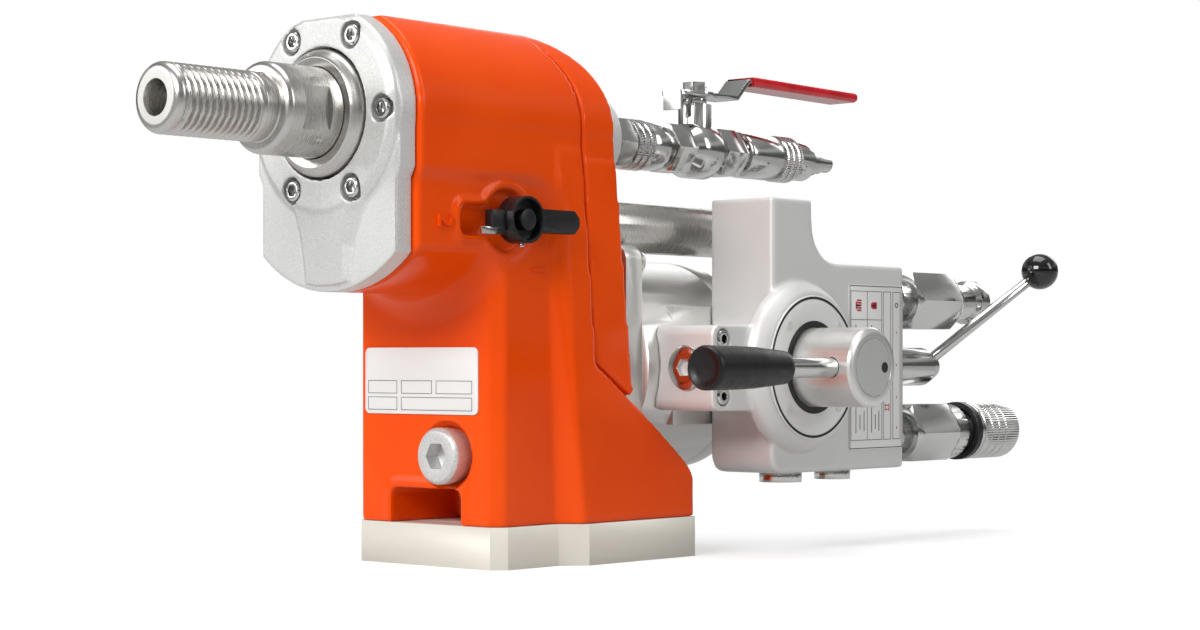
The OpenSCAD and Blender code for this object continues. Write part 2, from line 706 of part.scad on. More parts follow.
module motor_body() color(alloy) difference() {
    union() {
        down_y(y_back, motor_y) translate([-flange_w / 2, motor_z - flange_h / 2])
            rounded_sheet(flange_w, flange_h, 8);
        along_y(0, motor_y, motor_z) cylinder(d = motor_d, h = motor_len - end_cover_t);
        translate([0, motor_y + 24, motor_z - 30]) cube([pad_x, 54 - 24 + 8, 60]);
    }
    along_y(0, y_back - 1, motor_z) cylinder(r = motor_shaft_d / 2 + fit, h = 100);
    motor_gear_room(motor_gear_y - 0.5, 40);
    motor_screw_places(y_back - 1) cylinder(r = 4.3, h = flange_t + 2);
    motor_bolt_places(motor_end - end_cover_t - 12) cylinder(r = 3, h = 20);
    // scallop in the flange, round the return tube's nut
    along_y(tube_x, y_back - 1, tube_z) cylinder(r = tube_nut / 2 / cos(30) + 0.6, h = flange_t + 2);
}

module motor_end_cover() color(alloy) difference() {
    along_y(0, motor_end - end_cover_t, motor_z)
        turned([[0, 0], [motor_d / 2, 0], [motor_d / 2, end_cover_t - 3], [motor_d / 2 - 3, end_cover_t],
            [0, end_cover_t]]);
    along_y(0, motor_end - end_cover_t - 1, motor_z) cylinder(r = motor_shaft_d / 2 + fit, h = 9);
    motor_bolt_places(motor_end - end_cover_t - 1) cylinder(r = 3.3, h = end_cover_t + 2);
}
module motor_bolt_places(y) for (a = [45 : 90 : 315])
    along_y(42 * cos(a), y, motor_z + 42 * sin(a)) children();

module motor_screws() color(steel) {
    motor_screw_places(motor_y) {
        cap_head(13, 8, 6);
        rotate([180, 0, 0]) cylinder(r = 4, h = flange_t + 12);
    }
    motor_bolt_places(motor_end) {
        cap_head(10, 6, 5);
        rotate([180, 0, 0]) cylinder(r = 3, h = end_cover_t + 11);
    }
}

module motor_shaft() color(steel) along_y(0, y_low + 8, motor_z)
    cylinder(d = motor_shaft_d, h = motor_end - end_cover_t + 6 - y_low - 8);
module motor_pinion() color("slategrey") along_y(0, y_input, motor_z)
    spur(motor_pinion_z, gear_w, motor_shaft_d / 2, -90, true);

// The pump-type gears inside the motor, three millimetres to the tooth
module motor_gear(z0, bore_r, turn) along_y(0, motor_gear_y, z0) difference() {
    scale([1.5, 1.5, 1]) linear_extrude(motor_gear_w) polygon([
        for (i = [0 : 9]) for (side = [-1, 1]) for (k = [0 : 4])
        let (rho = [7.7, 9, 10, 11, 11.8], n = side < 0 ? k : 4 - k,
            a = turn + i * 36 + side * tooth_half(10, 10, rho[n])) [rho[n] * cos(a), rho[n] * sin(a)]]);
    translate([0, 0, -1]) cylinder(r = bore_r, h = 40);
}
module motor_drive_gear() color("slategrey") motor_gear(motor_z, motor_shaft_d / 2, 90);
module motor_idler_gear() color("slategrey") {
    motor_gear(motor_z - 2 * motor_gear_r, 6, -90 + 18);
    along_y(0, motor_gear_y, motor_z - 2 * motor_gear_r) cylinder(r = 6, h = motor_gear_w);
}

// ---------- return tube ----------

module return_tube() color(steel) along_y(tube_x, y_swivel + 6, tube_z)
    ring(tube_r, tube_r - 2.5, tube_seat_y - y_swivel);
module tube_gland_nut() color(steel) along_y(tube_x, tube_nut_y, tube_z) difference() {
    hex_bar(tube_nut, 9);
    translate([0, 0, -1]) cylinder(r = tube_r, h = 12);
}

// ---------- control block ----------

module block_profile() difference() {
    union() {
        translate([block_y, block_low]) square([block_len, block_h]);
        translate([block_y, block_top - 1]) square([tower_len, tower_top - block_top + 1]);
        translate([block_y + tower_len - 1, block_top - 1]) square([fillet_r - 5, fillet_r]);
    }
    translate([block_y + tower_len + fillet_r - 5, block_top + fillet_r - 1]) circle(fillet_r - 4);
    translate([block_y + tower_len + fillet_r - 5 - (fillet_r - 4), block_top + fillet_r - 1]) square(30);
}

module valve_block() color(alloy) difference() {
    union() {
        intersection() {
            across_x(pad_x, block_x) block_profile();
            union() {
                translate([pad_x, 0, 0]) cube([block_w, 400, block_top]);
                translate([pad_x + 5, 0, 0]) cube([block_w - 5, 400, 400]);
            }
        }
        translate([pad_x, lug_y, lug_low]) cube([block_w - 0.5, block_y - lug_y + 1, lug_top - lug_low]);
        along_x(block_x - 1, dial_y, dial_z) turned([[0, 0], [dial_d / 2 + 6, 0], [dial_d / 2 + 6, 3],
            [dial_d / 2 + 2.5, 9], [dial_d / 2, 10.2], [0, 10.2]]);
        // arm that carries the return tube's rear end
        translate([tube_x - 15, tube_seat_y, tube_z - 15]) cube([pad_x + 10 - tube_x + 15, 20, 30]);
        translate([pad_x, tube_seat_y, block_top - 1]) cube([10, 20, tube_z + 15 - block_top + 1]);
    }
    along_y(tube_x, tube_seat_y - 1, tube_z) cylinder(r = tube_r + 0.01, h = 7);
    along_x(pad_x + 14, dial_y, dial_z) cylinder(r = spool_r + fit, h = 60);
    along_y(port_x, hub_y - 40, dial_z) cylinder(r = 6 + fit, h = 60);
    for (s = [-1, 1]) along_y(port_x, block_rear - 16, dial_z + s * port_gap / 2)
        cylinder(r = port_bore_r, h = 30);
    block_plug_bores();
    block_screw_places() {
        translate([0, 0, -6]) cylinder(r = 4.8, h = 20);
        rotate([180, 0, 0]) cylinder(r = 2.8, h = 60);
    }
    // where the round motor meets the inner face
    along_y(0, motor_y, motor_z) cylinder(d = motor_d + 0.4, h = motor_len + 0.4);
}

module block_plug_bores() {
    along_y(pad_x + 23, lug_y - 1, dial_z) cylinder(r = 8, h = 14);
    for (p = bottom_plugs) translate([p[0], p[1], block_low - 1]) cylinder(r = p[2] - 3, h = 12);
}
module block_plugs() color(steel) {
    along_y(pad_x + 23, lug_y - 2.6, dial_z) difference() {
        turned([[0, 0], [9.6, 0], [11, 1], [11, 2.6], [8, 2.6], [8, 14], [0, 14]]);
        translate([0, 0, -1]) hex_bar(8, 6);
    }
    for (p = bottom_plugs) translate([p[0], p[1], block_low - 5]) difference() {
        union() {
            cylinder(r = p[2], h = 5);
            cylinder(r = p[2] - 3, h = 14);
        }
        translate([0, 0, -1]) hex_bar(p[2] * 0.8, 5);
    }
}
module block_screw_places() for (side = [-1, 1])
    along_x(block_x - 2.5, lug_y + 8.5, dial_z + side * 14.2) children();
module block_screws() color(steel) block_screw_places() {
    translate([0, 0, -6]) cap_head(8.6, 8, 4);
    translate([0, 0, -6]) rotate([180, 0, 0]) cylinder(r = 2.5, h = 28);
}

module dial_plate() color("whitesmoke") along_x(dial_face - 0.8, dial_y, dial_z) difference() {
    cylinder(d = dial_d - 1, h = 0.8);
    translate([0, 0, -1]) cylinder(r = knob_d / 2 + 3, h = 4);
}
module selector_knob() color(alloy) along_x(dial_face + gap, dial_y, dial_z) difference() {
    turned([[0, 0], [knob_d / 2, 0], [knob_d / 2, knob_len - 2], [knob_d / 2 - 2, knob_len], [0, knob_len]]);
    translate([0, 0, -1]) cylinder(r = spool_neck_r, h = 12);
    rotate([90, 0, 0]) translate([0, knob_len - 12, 0]) cylinder(r = rod_r, h = 30);
}
// The selector's rod and grip start from the knob's axis and run along -Y
module rod_place(y) translate([dial_face + gap + knob_len - 12, dial_y - y, dial_z])
    rotate([90, 0, 0]) children();
module selector_rod() color(steel) rod_place(0) cylinder(r = rod_r, h = knob_d / 2 + grip_near + 20);
module selector_grip() color(dark) rod_place(knob_d / 2 + grip_near) difference() {
    turned([[0, 0], [7.2, 0], [8.2, 1.2], [10, 24], [10.4, 40], [10.6, grip_len - 1.5], [9.6, grip_len],
        [6, grip_len - 1.6], [0, grip_len - 2]]);
    translate([0, 0, -1]) cylinder(r = rod_r, h = 21);
}
module selector_spool() color(steel) {
    along_x(pad_x + 14.5, dial_y, dial_z) cylinder(r = spool_r, h = dial_face - pad_x - 14.5);
    along_x(dial_face, dial_y, dial_z) cylinder(r = spool_neck_r, h = 11);
}
module spec_label() color("whitesmoke") translate([block_x, label_low_y, dial_z - label_h / 2])
    across_x(0, 0.5) rounded_sheet(label_len, label_h, 2);

// ---------- flow lever ----------

module flow_lever_hub() color(steel) {
    flow_hub_solid();
    along_y(port_x, hub_y - 36, dial_z) cylinder(r = 6, h = 36.5);
}
module flow_hub_solid() along_y(port_x, hub_y, dial_z)
    turned([[0, 0], [9.6, 0], [10.5, 1], [10.5, hub_len - 10], [6.6, hub_len], [0, hub_len]]);
module between(a, b, r) {
    d = b - a;
    translate(a) rotate([0, acos(d[2] / norm(d)), atan2(d[1], d[0])]) cylinder(r = r, h = norm(d));
}
module flow_lever_rod() color(steel) difference() {
    between(rod_start, ball_at, 3);
    flow_hub_solid();
    translate(ball_at) sphere(flow_ball_size);
}
module flow_lever_ball() color(dark) translate(ball_at) sphere(flow_ball_size);

// ---------- hydraulic couplings ----------

module hose_adapters() color(steel) for (s = [-1, 1])
    along_y(port_x, block_rear - 14, dial_z + s * port_gap / 2) difference() {
    union() {
        cylinder(r = port_bore_r, h = 14);
        translate([0, 0, 14]) cylinder(r = 15.5, h = 9);
        translate([0, 0, 23]) cylinder(r = 12, h = 14);
    }
    translate([0, 0, -1]) cylinder(r = 5, h = 60);
}
// Male flat-face coupling above
module return_coupling() color(steel) along_y(port_x, coupling_y, dial_z + port_gap / 2) difference() {
    union() {
        intersection() {
            hex_bar(31, 44);
            turned([[0, 0], [15, 0], [17.9, 3], [17.9, 40], [15, 44], [0, 44]]);
        }
        turned([[0, 0], [12, 44], [13.2, 46], [13.2, 48], [10, 51], [10, 66], [12.3, 68], [12.3, 76],
            [11.3, 78], [0, 78]]);
    }
    translate([0, 0, -1]) cylinder(r = 5, h = 58);
    translate([0, 0, 74]) cylinder(r = 8.5, h = 10);
}
// Female coupling below, with its sliding sleeve
module pressure_coupling() color(steel) along_y(port_x, coupling_y, dial_z - port_gap / 2) difference() {
    union() {
        intersection() {
            hex_bar(31, 40);
            turned([[0, 0], [15, 0], [17.9, 3], [17.9, 37], [15.8, 40], [0, 40]]);
        }
        cylinder(r = coupling_r, h = coupling_len);
        translate([0, 0, 39]) cylinder(r = 15.5, h = 11);
    }
    translate([0, 0, -1]) cylinder(r = 5, h = 70);
    translate([0, 0, 66]) cylinder(r = 9.5, h = 50);
}
module pressure_coupling_sleeve() color(steel)
    along_y(port_x, coupling_y + 50 + sleeve_travel + gap, dial_z - port_gap / 2)
        ring(16.2, coupling_r + fit, coupling_len - 50 - sleeve_travel - gap);

// ---------- water line ----------

module water_swivel() color("darkgrey") along_y(0, y_swivel, spindle_h) difference() {
    turned([[0, 0], [swivel_d / 2, 0], [swivel_d / 2, swivel_len - 2], [swivel_d / 2 - 2, swivel_len],
        [0, swivel_len]]);
    translate([0, 0, -1]) cylinder(r = spindle_rear_d / 2 + 1, h = 7);
    translate([0, 0, 4]) cylinder(r = spindle_tail_r + fit, h = swivel_len - 11);
    translate([0, 0, -1]) cylinder(r = 7, h = swivel_len + 3);
}
module water_inlet_fitting() color(steel) along_y(0, swivel_end - 8, spindle_h) difference() {
    union() {
        cylinder(r = 7, h = 9);
        translate([0, 0, 8]) turned([[0, 0], [12, 0], [13.2, 1], [13.2, 2], [0, 2]]);
        translate([0, 0, 10]) intersection() {
            hex_bar(25, 22);
            turned([[0, 0], [13, 0], [14.4, 2], [14.4, 20], [13, 22], [0, 22]]);
        }
        translate([0, 0, 31]) cylinder(r = inlet_r, h = 34);
    }
    translate([0, 0, -1]) cylinder(r = 4.5, h = 70);
}
// A collar with three gripping rings
module grip_collar(len, r, inner_r) turned(concat([[inner_r, 0]],
    [for (i = [0 : 2]) for (p = [[r, 0.4], [r, 3.2], [r - 1, 3.8], [r - 1, 5]]) [p[0], p[1] + i * 5]],
    [[r - 0.6, 16], [r - 0.6, len - 1], [r - 1.6, len], [inner_r, len]]));
module front_water_collar() color(steel) along_y(0, collar_y + 0.6, spindle_h)
    grip_collar(33 - collar_travel - 1, 13.5, inlet_r + fit);

module ball_valve_body() color(alloy) difference() {
    union() {
        along_y(0, valve_y, spindle_h) {
            hex_bar(25, 15);
            translate([0, 0, valve_len - 13]) hex_bar(25, 13);
            turned([[0, 0], [10.5, 0], [10.5, 15], [15, 21], [15, 36], [11, valve_len - 12], [11, valve_len],
                [0, valve_len]]);
        }
        translate([0, stem_y, spindle_h]) cylinder(r = 9, h = 25);
    }
    along_y(0, valve_y - 1, spindle_h) cylinder(r = 6, h = valve_len + 2);
    translate([0, stem_y, spindle_h]) sphere(9.5);
    translate([0, stem_y, spindle_h]) cylinder(r = stem_r + fit, h = 40);
}
module ball_valve_ball() color(steel) translate([0, stem_y, spindle_h]) {
    difference() {
        union() {
            sphere(9.2);
            translate([0, 0, 5]) cylinder(r = stem_r, h = 24);
        }
        rotate([90, 0, 0]) cylinder(r = 6, h = 40, center = true);
    }
    translate([0, 0, 25 + gap]) turned([[stem_r, 0], [6.4, 0], [6.4, 3.2], [5.6, 3.7], [stem_r, 3.7]]);
}
module ball_valve_lever() color("lightgrey") translate([0, stem_y, 0]) {
    difference() {
        union() {
            translate([0, 0, lever_base]) cylinder(r = 10.5, h = lever_t);
            translate([-8, 0, lever_base]) cube([16, 27, lever_t]);
            translate([-8, -18, lever_base]) cube([16, 18, lever_t]);
            translate([-6, -19.5, lever_base - 8]) cube([12, 2.4, 8 + lever_t]);
        }
        translate([0, 0, lever_base - 1]) cylinder(r = stem_r + fit, h = 6);
    }
    // top nut
    difference() {
        translate([0, 0, lever_base + lever_t]) hex_bar(12, 5.5);
        translate([0, 0, lever_base]) cylinder(r = stem_r + fit, h = 3);
    }
    across_x(-8, 8) polygon([[26, lever_base], [28, lever_base], [38, lever_base + 10],
        [valve_lever_len - 22, lever_base + 9], [valve_lever_len - 22, lever_base + 9 + lever_t],
        [37, lever_base + 10 + lever_t], [27, lever_base + lever_t], [26, lever_base + lever_t]]);
}
module ball_valve_grip() color("crimson") translate([0, stem_y, 0]) difference() {
    across_x(-9.5, 9.5) polygon([[40, lever_base + 8.4], [valve_lever_len - 2, lever_base + 7.2],
        [valve_lever_len, lever_base + 8.5], [valve_lever_len, lever_base + 12],
        [valve_lever_len - 2, lever_base + 12.8], [40, lever_base + 14]]);
    across_x(-8, 8) polygon([[26, lever_base - 1], [38, lever_base + 10],
        [valve_lever_len - 22, lever_base + 9], [valve_lever_len - 22, lever_base + 9 + lever_t],
        [37, lever_base + 10 + lever_t]]);
}

module water_nipple() color(steel) along_y(0, valve_end, spindle_h) difference() {
    union() {
        hex_bar(24, 6);
        translate([0, 0, 6]) cylinder(r = nipple_r, h = 51.4);
        translate([0, 0, 57]) turned([[0, 0], [11, 0], [11, 13], [10, 14], [0, 14]]);
        translate([0, 0, 71])
            turned([[0, 0], [7.5, 0], [7.5, 8], [6.2, 9], [6.2, 14], [5, 15], [5, 23], [4, 24], [0, 24]]);
    }
    translate([0, 0, -1]) cylinder(r = 3, h = 120);
}
module rear_water_collar() color(steel) along_y(0, nipple_y + collar_travel + 0.8, spindle_h)
    mirror([0, 0, 1]) translate([0, 0, -45]) grip_collar(45, 13, nipple_r + fit);

base_plate();
base_screws();
gear_housing();
rear_cover();
rear_cover_screws();
front_cover();
front_cover_screws();
nameplate();
clamp_bolt();
spindle_seal();
spindle_front_bearing();
spindle_rear_bearing();
spindle();
spindle_high_gear();
spindle_low_gear();
layshaft();
layshaft_input_gear();
layshaft_high_pinion();
layshaft_low_pinion();
layshaft_bearings();
shift_sleeve();
shift_fork();
fork_rail();
gear_lever();
gear_lever_shaft();
gear_lever_latch();
motor_body();
motor_end_cover();
motor_screws();
motor_shaft();
motor_pinion();
motor_drive_gear();
motor_idler_gear();
return_tube();
tube_gland_nut();
valve_block();
block_plugs();
block_screws();
dial_plate();
selector_knob();
selector_rod();
selector_grip();
selector_spool();
spec_label();
flow_lever_hub();
flow_lever_rod();
flow_lever_ball();
hose_adapters();
return_coupling();
pressure_coupling();
pressure_coupling_sleeve();
water_swivel();
water_inlet_fitting();
front_water_collar();
ball_valve_body();
ball_valve_ball();
ball_valve_lever();
ball_valve_grip();
water_nipple();
rear_water_collar();
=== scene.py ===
"""Looks for a hydraulic core drill unit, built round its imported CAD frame.

Lengths below are millimetres in the row frame: origin under the middle of the foot, -Y the way the
spindle points, +X the control side, +Z up. mm() turns them into Blender's metres.
"""

import json
import math

import bpy
import numpy as np
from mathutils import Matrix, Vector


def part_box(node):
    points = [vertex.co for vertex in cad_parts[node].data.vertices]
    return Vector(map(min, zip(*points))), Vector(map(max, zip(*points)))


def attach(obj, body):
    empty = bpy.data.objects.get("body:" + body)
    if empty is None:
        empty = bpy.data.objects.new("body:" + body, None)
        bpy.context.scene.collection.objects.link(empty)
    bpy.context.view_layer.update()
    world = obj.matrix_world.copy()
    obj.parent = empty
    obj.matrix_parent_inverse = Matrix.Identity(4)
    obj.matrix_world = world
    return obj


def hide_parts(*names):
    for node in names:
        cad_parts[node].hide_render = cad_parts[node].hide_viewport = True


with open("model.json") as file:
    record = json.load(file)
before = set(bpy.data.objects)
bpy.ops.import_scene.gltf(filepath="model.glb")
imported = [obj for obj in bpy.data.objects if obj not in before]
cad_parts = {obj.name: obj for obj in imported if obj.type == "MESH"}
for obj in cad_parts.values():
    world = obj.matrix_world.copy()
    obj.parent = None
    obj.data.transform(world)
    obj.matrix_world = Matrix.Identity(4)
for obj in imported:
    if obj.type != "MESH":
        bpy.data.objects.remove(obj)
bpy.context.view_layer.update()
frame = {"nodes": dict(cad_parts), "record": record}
NODES = frame["nodes"]
TAU = 2 * math.pi


def mm(value):
    """Millimetres to metres."""
    return np.asarray(value, float) / 1000.0


def span(node):
    """A CAD node's lowest and highest corners in millimetres."""
    low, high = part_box(node)
    return np.array(low) * 1000, np.array(high) * 1000


# ---------- materials ----------


def linear(code, alpha=1.0):
    """An sRGB hex colour as linear RGBA."""
    parts = [int(code[i : i + 2], 16) / 255 for i in (1, 3, 5)]
    return (*[c / 12.92 if c <= 0.04045 else ((c + 0.055) / 1.055) ** 2.4 for c in parts], alpha)


def add(material, kind, links=(), **settings):
    """Adds a shader node of a kind, with its settings and its links.

    A setting whose name is an input socket sets that socket; any other sets the node's property.
    A link is (input socket, source node, output socket).
    """
    tree = material.node_tree
    node = tree.nodes.new(kind)
    for key, value in settings.items():
        name = key.replace("__", " ")
        if name in node.inputs:
            node.inputs[name].default_value = value
        else:
            setattr(node, key, value)
    for socket, source, output in links:
        tree.links.new(source.outputs[output], node.inputs[socket])
    return node


def start(name, colour, metallic=0.0, roughness=0.4, **sockets):
    """A new material with its shader, output and Object coordinates in millimetres."""
    material = bpy.data.materials.new(name)
    material.use_nodes = True
    material.node_tree.nodes.clear()
    shader = add(material, "ShaderNodeBsdfPrincipled")
    shader.inputs["Base Color"].default_value = linear(colour)
    shader.inputs["Metallic"].default_value = metallic
    shader.inputs["Roughness"].default_value = roughness
    for key, value in sockets.items():
        shader.inputs[key.replace("__", " ")].default_value = value
    add(material, "ShaderNodeOutputMaterial", [("Surface", shader, "BSDF")])
    coords = add(material, "ShaderNodeTexCoord")
    place = add(material, "ShaderNodeMapping", [("Vector", coords, "Object")], Scale=(1000, 1000, 1000))
    return material, shader, place


def wire(material, source, output, node, socket):
    """Links one output to one input."""
    material.node_tree.links.new(source.outputs[output], node.inputs[socket])


def grain(material, shader, place, size, height, detail=3.0, stretch=(1, 1, 1)):
    """A noise bump whose lumps are size millimetres across and height millimetres deep."""
    scaled = add(material, "ShaderNodeMapping", [("Vector", place, "Vector")], Scale=stretch)
    noise = add(material, "ShaderNodeTexNoise", [("Vector", scaled, "Vector")],
                Scale=1.0 / size, Detail=detail)
    bump = add(
        material, "ShaderNodeBump", [("Height", noise, "Fac")], Strength=1.0, Distance=height / 1000.0
    )
    wire(material, bump, "Normal", shader, "Normal")
    return noise, bump


def vary(material, shader, place, socket, size, low, high, detail=4.0, stretch=(1, 1, 1)):
    """Lets a shader input wander between two numbers or two colours over patches size millimetres across."""
    scaled = add(material, "ShaderNodeMapping", [("Vector", place, "Vector")], Scale=stretch)
    noise = add(material, "ShaderNodeTexNoise", [("Vector", scaled, "Vector")],
                Scale=1.0 / size, Detail=detail)
    if isinstance(low, str):
        ramp = add(material, "ShaderNodeValToRGB", [("Fac", noise, "Fac")])
        ramp.color_ramp.elements[0].position = 0.35
        ramp.color_ramp.elements[1].position = 0.65
        ramp.color_ramp.elements[0].color = linear(low)
        ramp.color_ramp.elements[1].color = linear(high)
        wire(material, ramp, "Color", shader, socket)
    else:
        ramp = add(
            material, "ShaderNodeMapRange", [("Value", noise, "Fac")],
            **{"From__Min": 0.35, "From__Max": 0.65, "To__Min": low, "To__Max": high},
        )
        wire(material, ramp, "Result", shader, socket)
    return ramp


def powder_coat():
    """Glossy orange powder coat: a thick film with a faint orange peel and a clear wet gloss."""
    m, s, p = start("orange_powder_coat", "#E64A03", roughness=0.22, Specular__IOR__Level=0.2)
    vary(m, s, p, "Base Color", 60, "#E34702", "#E94D04")
    grain(m, s, p, 2.4, 0.018, detail=1.0)
    return m


def silver_paint():
    """Silver paint on a casting: fine metal flake that sparkles a little over soft sand-cast grain."""
    m, s, p = start("silver_paint", "#CFCFCD", metallic=0.6, roughness=0.42)
    vary(m, s, p, "Roughness", 0.7, 0.34, 0.50)
    vary(m, s, p, "Base Color", 0.6, "#C4C4C2", "#D9D9D7")
    grain(m, s, p, 0.9, 0.02)
    return m


def milled_aluminium():
    """Milled and anodised aluminium: pale, slightly warm, with fine cutter lines along X."""
    m, s, p = start("milled_aluminium", "#D8D8D5", metallic=0.85, roughness=0.36)
    vary(m, s, p, "Roughness", 0.5, 0.30, 0.40, stretch=(0.02, 1, 1))
    grain(m, s, p, 0.45, 0.003, stretch=(0.03, 1, 1))
    return m


def brushed_plate():
    """Ground aluminium plate: warm, even, satin, brushed along X with lines a third of a millimetre apart."""
    m, s, p = start("brushed_plate", "#DFDBD0", metallic=0.3, roughness=0.46)
    vary(m, s, p, "Roughness", 0.35, 0.42, 0.50, detail=1.0, stretch=(0.02, 1, 1))
    grain(m, s, p, 0.35, 0.002, detail=1.0, stretch=(0.02, 1, 1))
    return m


def blasted_aluminium():
    """Bead-blasted aluminium block: even, matt and light, with a grain finer than half a millimetre."""
    m, s, p = start("blasted_aluminium", "#D2D2D0", metallic=0.4, roughness=0.45)
    vary(m, s, p, "Roughness", 0.6, 0.46, 0.56)
    grain(m, s, p, 0.55, 0.006)
    return m


def turned_steel():
    """Machined steel, turned about Y: fine rings round the axis."""
    m, s, p = start("turned_steel", "#BFBDB9", metallic=1.0, roughness=0.27)
    vary(m, s, p, "Roughness", 0.6, 0.25, 0.29, stretch=(0.02, 1, 0.02))
    grain(m, s, p, 0.5, 0.0006, stretch=(0.02, 1, 0.02))
    return m


def bright_plate():
    """Zinc and nickel plate on steel and brass: bright, with soft dents left by the blank's surface."""
    m, s, p = start("bright_plate", "#C9C9C7", metallic=1.0, roughness=0.14)
    vary(m, s, p, "Roughness", 5, 0.12, 0.19)
    grain(m, s, p, 3.0, 0.004, detail=2.0)
    return m


def dark_steel():
    """Hardened gear steel, oiled: dark grey with a thin film of oil."""
    m, s, p = start("dark_steel", "#4A4A4C", metallic=1.0, roughness=0.32)
    vary(m, s, p, "Roughness", 4, 0.25, 0.42)
    return m


def moulded_black():
    """Black glass-filled nylon, moulded: satin, with a fine spark-eroded grain."""
    m, s, p = start("moulded_black", "#0E0E0F", roughness=0.34, Specular__IOR__Level=0.35)
    vary(m, s, p, "Roughness", 3, 0.32, 0.46)
    grain(m, s, p, 0.5, 0.006)
    return m


def black_phenolic():
    """Polished black phenolic: deep black with a sharp gloss."""
    m, s, p = start("black_phenolic", "#060607", roughness=0.09, Coat__Weight=0.5, Coat__Roughness=0.04)
    vary(m, s, p, "Roughness", 6, 0.07, 0.13)
    return m


def dipped_vinyl():
    """Dipped red vinyl sleeve: soft, wet-looking and slightly wavy."""
    m, s, p = start("dipped_vinyl", "#C4141E", roughness=0.2, Coat__Weight=0.4, Coat__Roughness=0.1)
    vary(m, s, p, "Base Color", 14, "#B80F1A", "#D01A24")
    grain(m, s, p, 4.0, 0.03, detail=1.0)
    return m


def printed_foil():
    """Anodised foil for plates and labels: smooth, pale grey and faintly brushed."""
    m, s, p = start("printed_foil", "#DEDEDC", metallic=0.15, roughness=0.4)
    vary(m, s, p, "Roughness", 1.2, 0.34, 0.46, stretch=(1, 0.05, 1))
    return m


def ink(name, colour):
    """Screen-printed ink: flat colour with a slight sheen and the odd thin spot."""
    m, s, p = start(name, colour, roughness=0.45)
    vary(m, s, p, "Roughness", 2, 0.38, 0.55)
    return m


MATERIALS = {
    "orange_powder_coat": powder_coat(),
    "milled_aluminium": milled_aluminium(),
    "silver_paint": silver_paint(),
    "blasted_aluminium": blasted_aluminium(),
    "machined_steel": turned_steel(),
    "plated_steel": bright_plate(),
    "dark_steel": dark_steel(),
    "black_plastic": moulded_black(),
    "black_phenolic": black_phenolic(),
    "red_vinyl": dipped_vinyl(),
    "printed_foil": printed_foil(),
}
# black ink for the print, also used as painted shade in the gap round the knob
BLACK_INK_AND_SHADE = ink("black_ink_and_painted_shade", "#141414")
RED_INK = ink("red_ink", "#B3202C")
GREY_INK = ink("grey_ink", "#5C5456")


# ---------- CAD nodes: materials and rounded edges ----------

PLATE_FINISH = {"base_plate": brushed_plate(), "clamp_bolt": MATERIALS["silver_paint"]}
SLOT_OF = {part["node"]: part["material_slot"] for part in frame["record"]["subparts"]}
EDGE = {"base_plate": 0.8, "motor_body": 1.0, "motor_end_cover": 1.0, "ball_valve_grip": 2.2}


def finish_node(name):
    """Gives a CAD node its slot's material, and a small bevel so that its edges catch the light."""
    node = NODES[name]
    node.data.materials.clear()
    node.data.materials.append(PLATE_FINISH.get(name, MATERIALS[SLOT_OF[name]]))
    node.data.polygons.foreach_set("use_smooth", np.ones(len(node.data.polygons), bool))
    node.modifiers.new("weld", "WELD").merge_threshold = 0.00001
    bevel = node.modifiers.new("edges", "BEVEL")
    bevel.width = EDGE.get(name, 0.3) / 1000
    bevel.segments = 2 if bevel.width < 0.002 else 4
    bevel.limit_method = "ANGLE"
    bevel.angle_limit = math.radians(40)
    bevel.harden_normals = True


for name in NODES:
    finish_node(name)

# ---------- shaping ----------


def mesh_from(name, points, faces):
    """A mesh from points in millimetres and faces, turned so that its signed volume is positive."""
    points = np.asarray(points, float)
    volume = sum(
        np.einsum("i,i->", points[f[0]], np.cross(points[f[i]], points[f[i + 1]]))
        for f in faces
        for i in range(1, len(f) - 1)
    )
    if volume < 0:
        faces = [tuple(reversed(f)) for f in faces]
    mesh = bpy.data.meshes.new(name)
    mesh.from_pydata(mm(points).tolist(), [], faces)
    mesh.update()
    return mesh


def loft(rings):
    """A closed solid through rings of equally many [x, y, z] points, capped at both ends."""
    rings = np.asarray(rings, float)
    count, size = rings.shape[:2]
    i, j = np.meshgrid(np.arange(count - 1), np.arange(size), indexing="ij")
    k = (j + 1) % size
    sides = np.stack([i * size + j, (i + 1) * size + j, (i + 1) * size + k, i * size + k], -1).reshape(-1, 4)
    caps = [tuple(range(size)), tuple(range((count - 1) * size, count * size))[::-1]]
    return mesh_from("solid", rings.reshape(-1, 3), [tuple(f) for f in sides.tolist()] + caps)


def prism(axis, outline, low, high):
    """A 2-D outline carried straight along an axis. The outline holds the two other axes in X, Y, Z order."""
    outline = np.asarray(outline, float)
    rings = [np.insert(outline, axis, station, axis=1) for station in (low, high)]
    return loft(rings)


def arc(cx, cy, rx, ry, start, end, steps=12):
    """Points [cx + rx cos a, cy + ry sin a] of an ellipse between two angles in degrees."""
    a = np.radians(np.linspace(start, end, steps + 1))
    return np.stack([cx + rx * np.cos(a), cy + ry * np.sin(a)], 1)


def path(*parts):
    """One outline from points and runs of points."""
    return np.concatenate([np.atleast_2d(np.asarray(p, float)) for p in parts])


def rounded(x0, y0, x1, y1, r):
    """A rectangle's outline with round corners."""
    return path(
        arc(x1 - r, y1 - r, r, r, 0, 90, 5), arc(x0 + r, y1 - r, r, r, 90, 180, 5),
        arc(x0 + r, y0 + r, r, r, 180, 270, 5), arc(x1 - r, y0 + r, r, r, 270, 360, 5),
    )


def circle(cx, cy, r, steps=48):
    """A circle's outline."""
    return arc(cx, cy, r, r, 0, 360, steps)[:-1]


def evaluated(holder):
    """The mesh that an object's modifiers give; the object is removed."""
    bpy.context.view_layer.update()
    ready = holder.evaluated_get(bpy.context.evaluated_depsgraph_get())
    mesh = bpy.data.meshes.new_from_object(ready)
    bpy.data.objects.remove(holder)
    return mesh


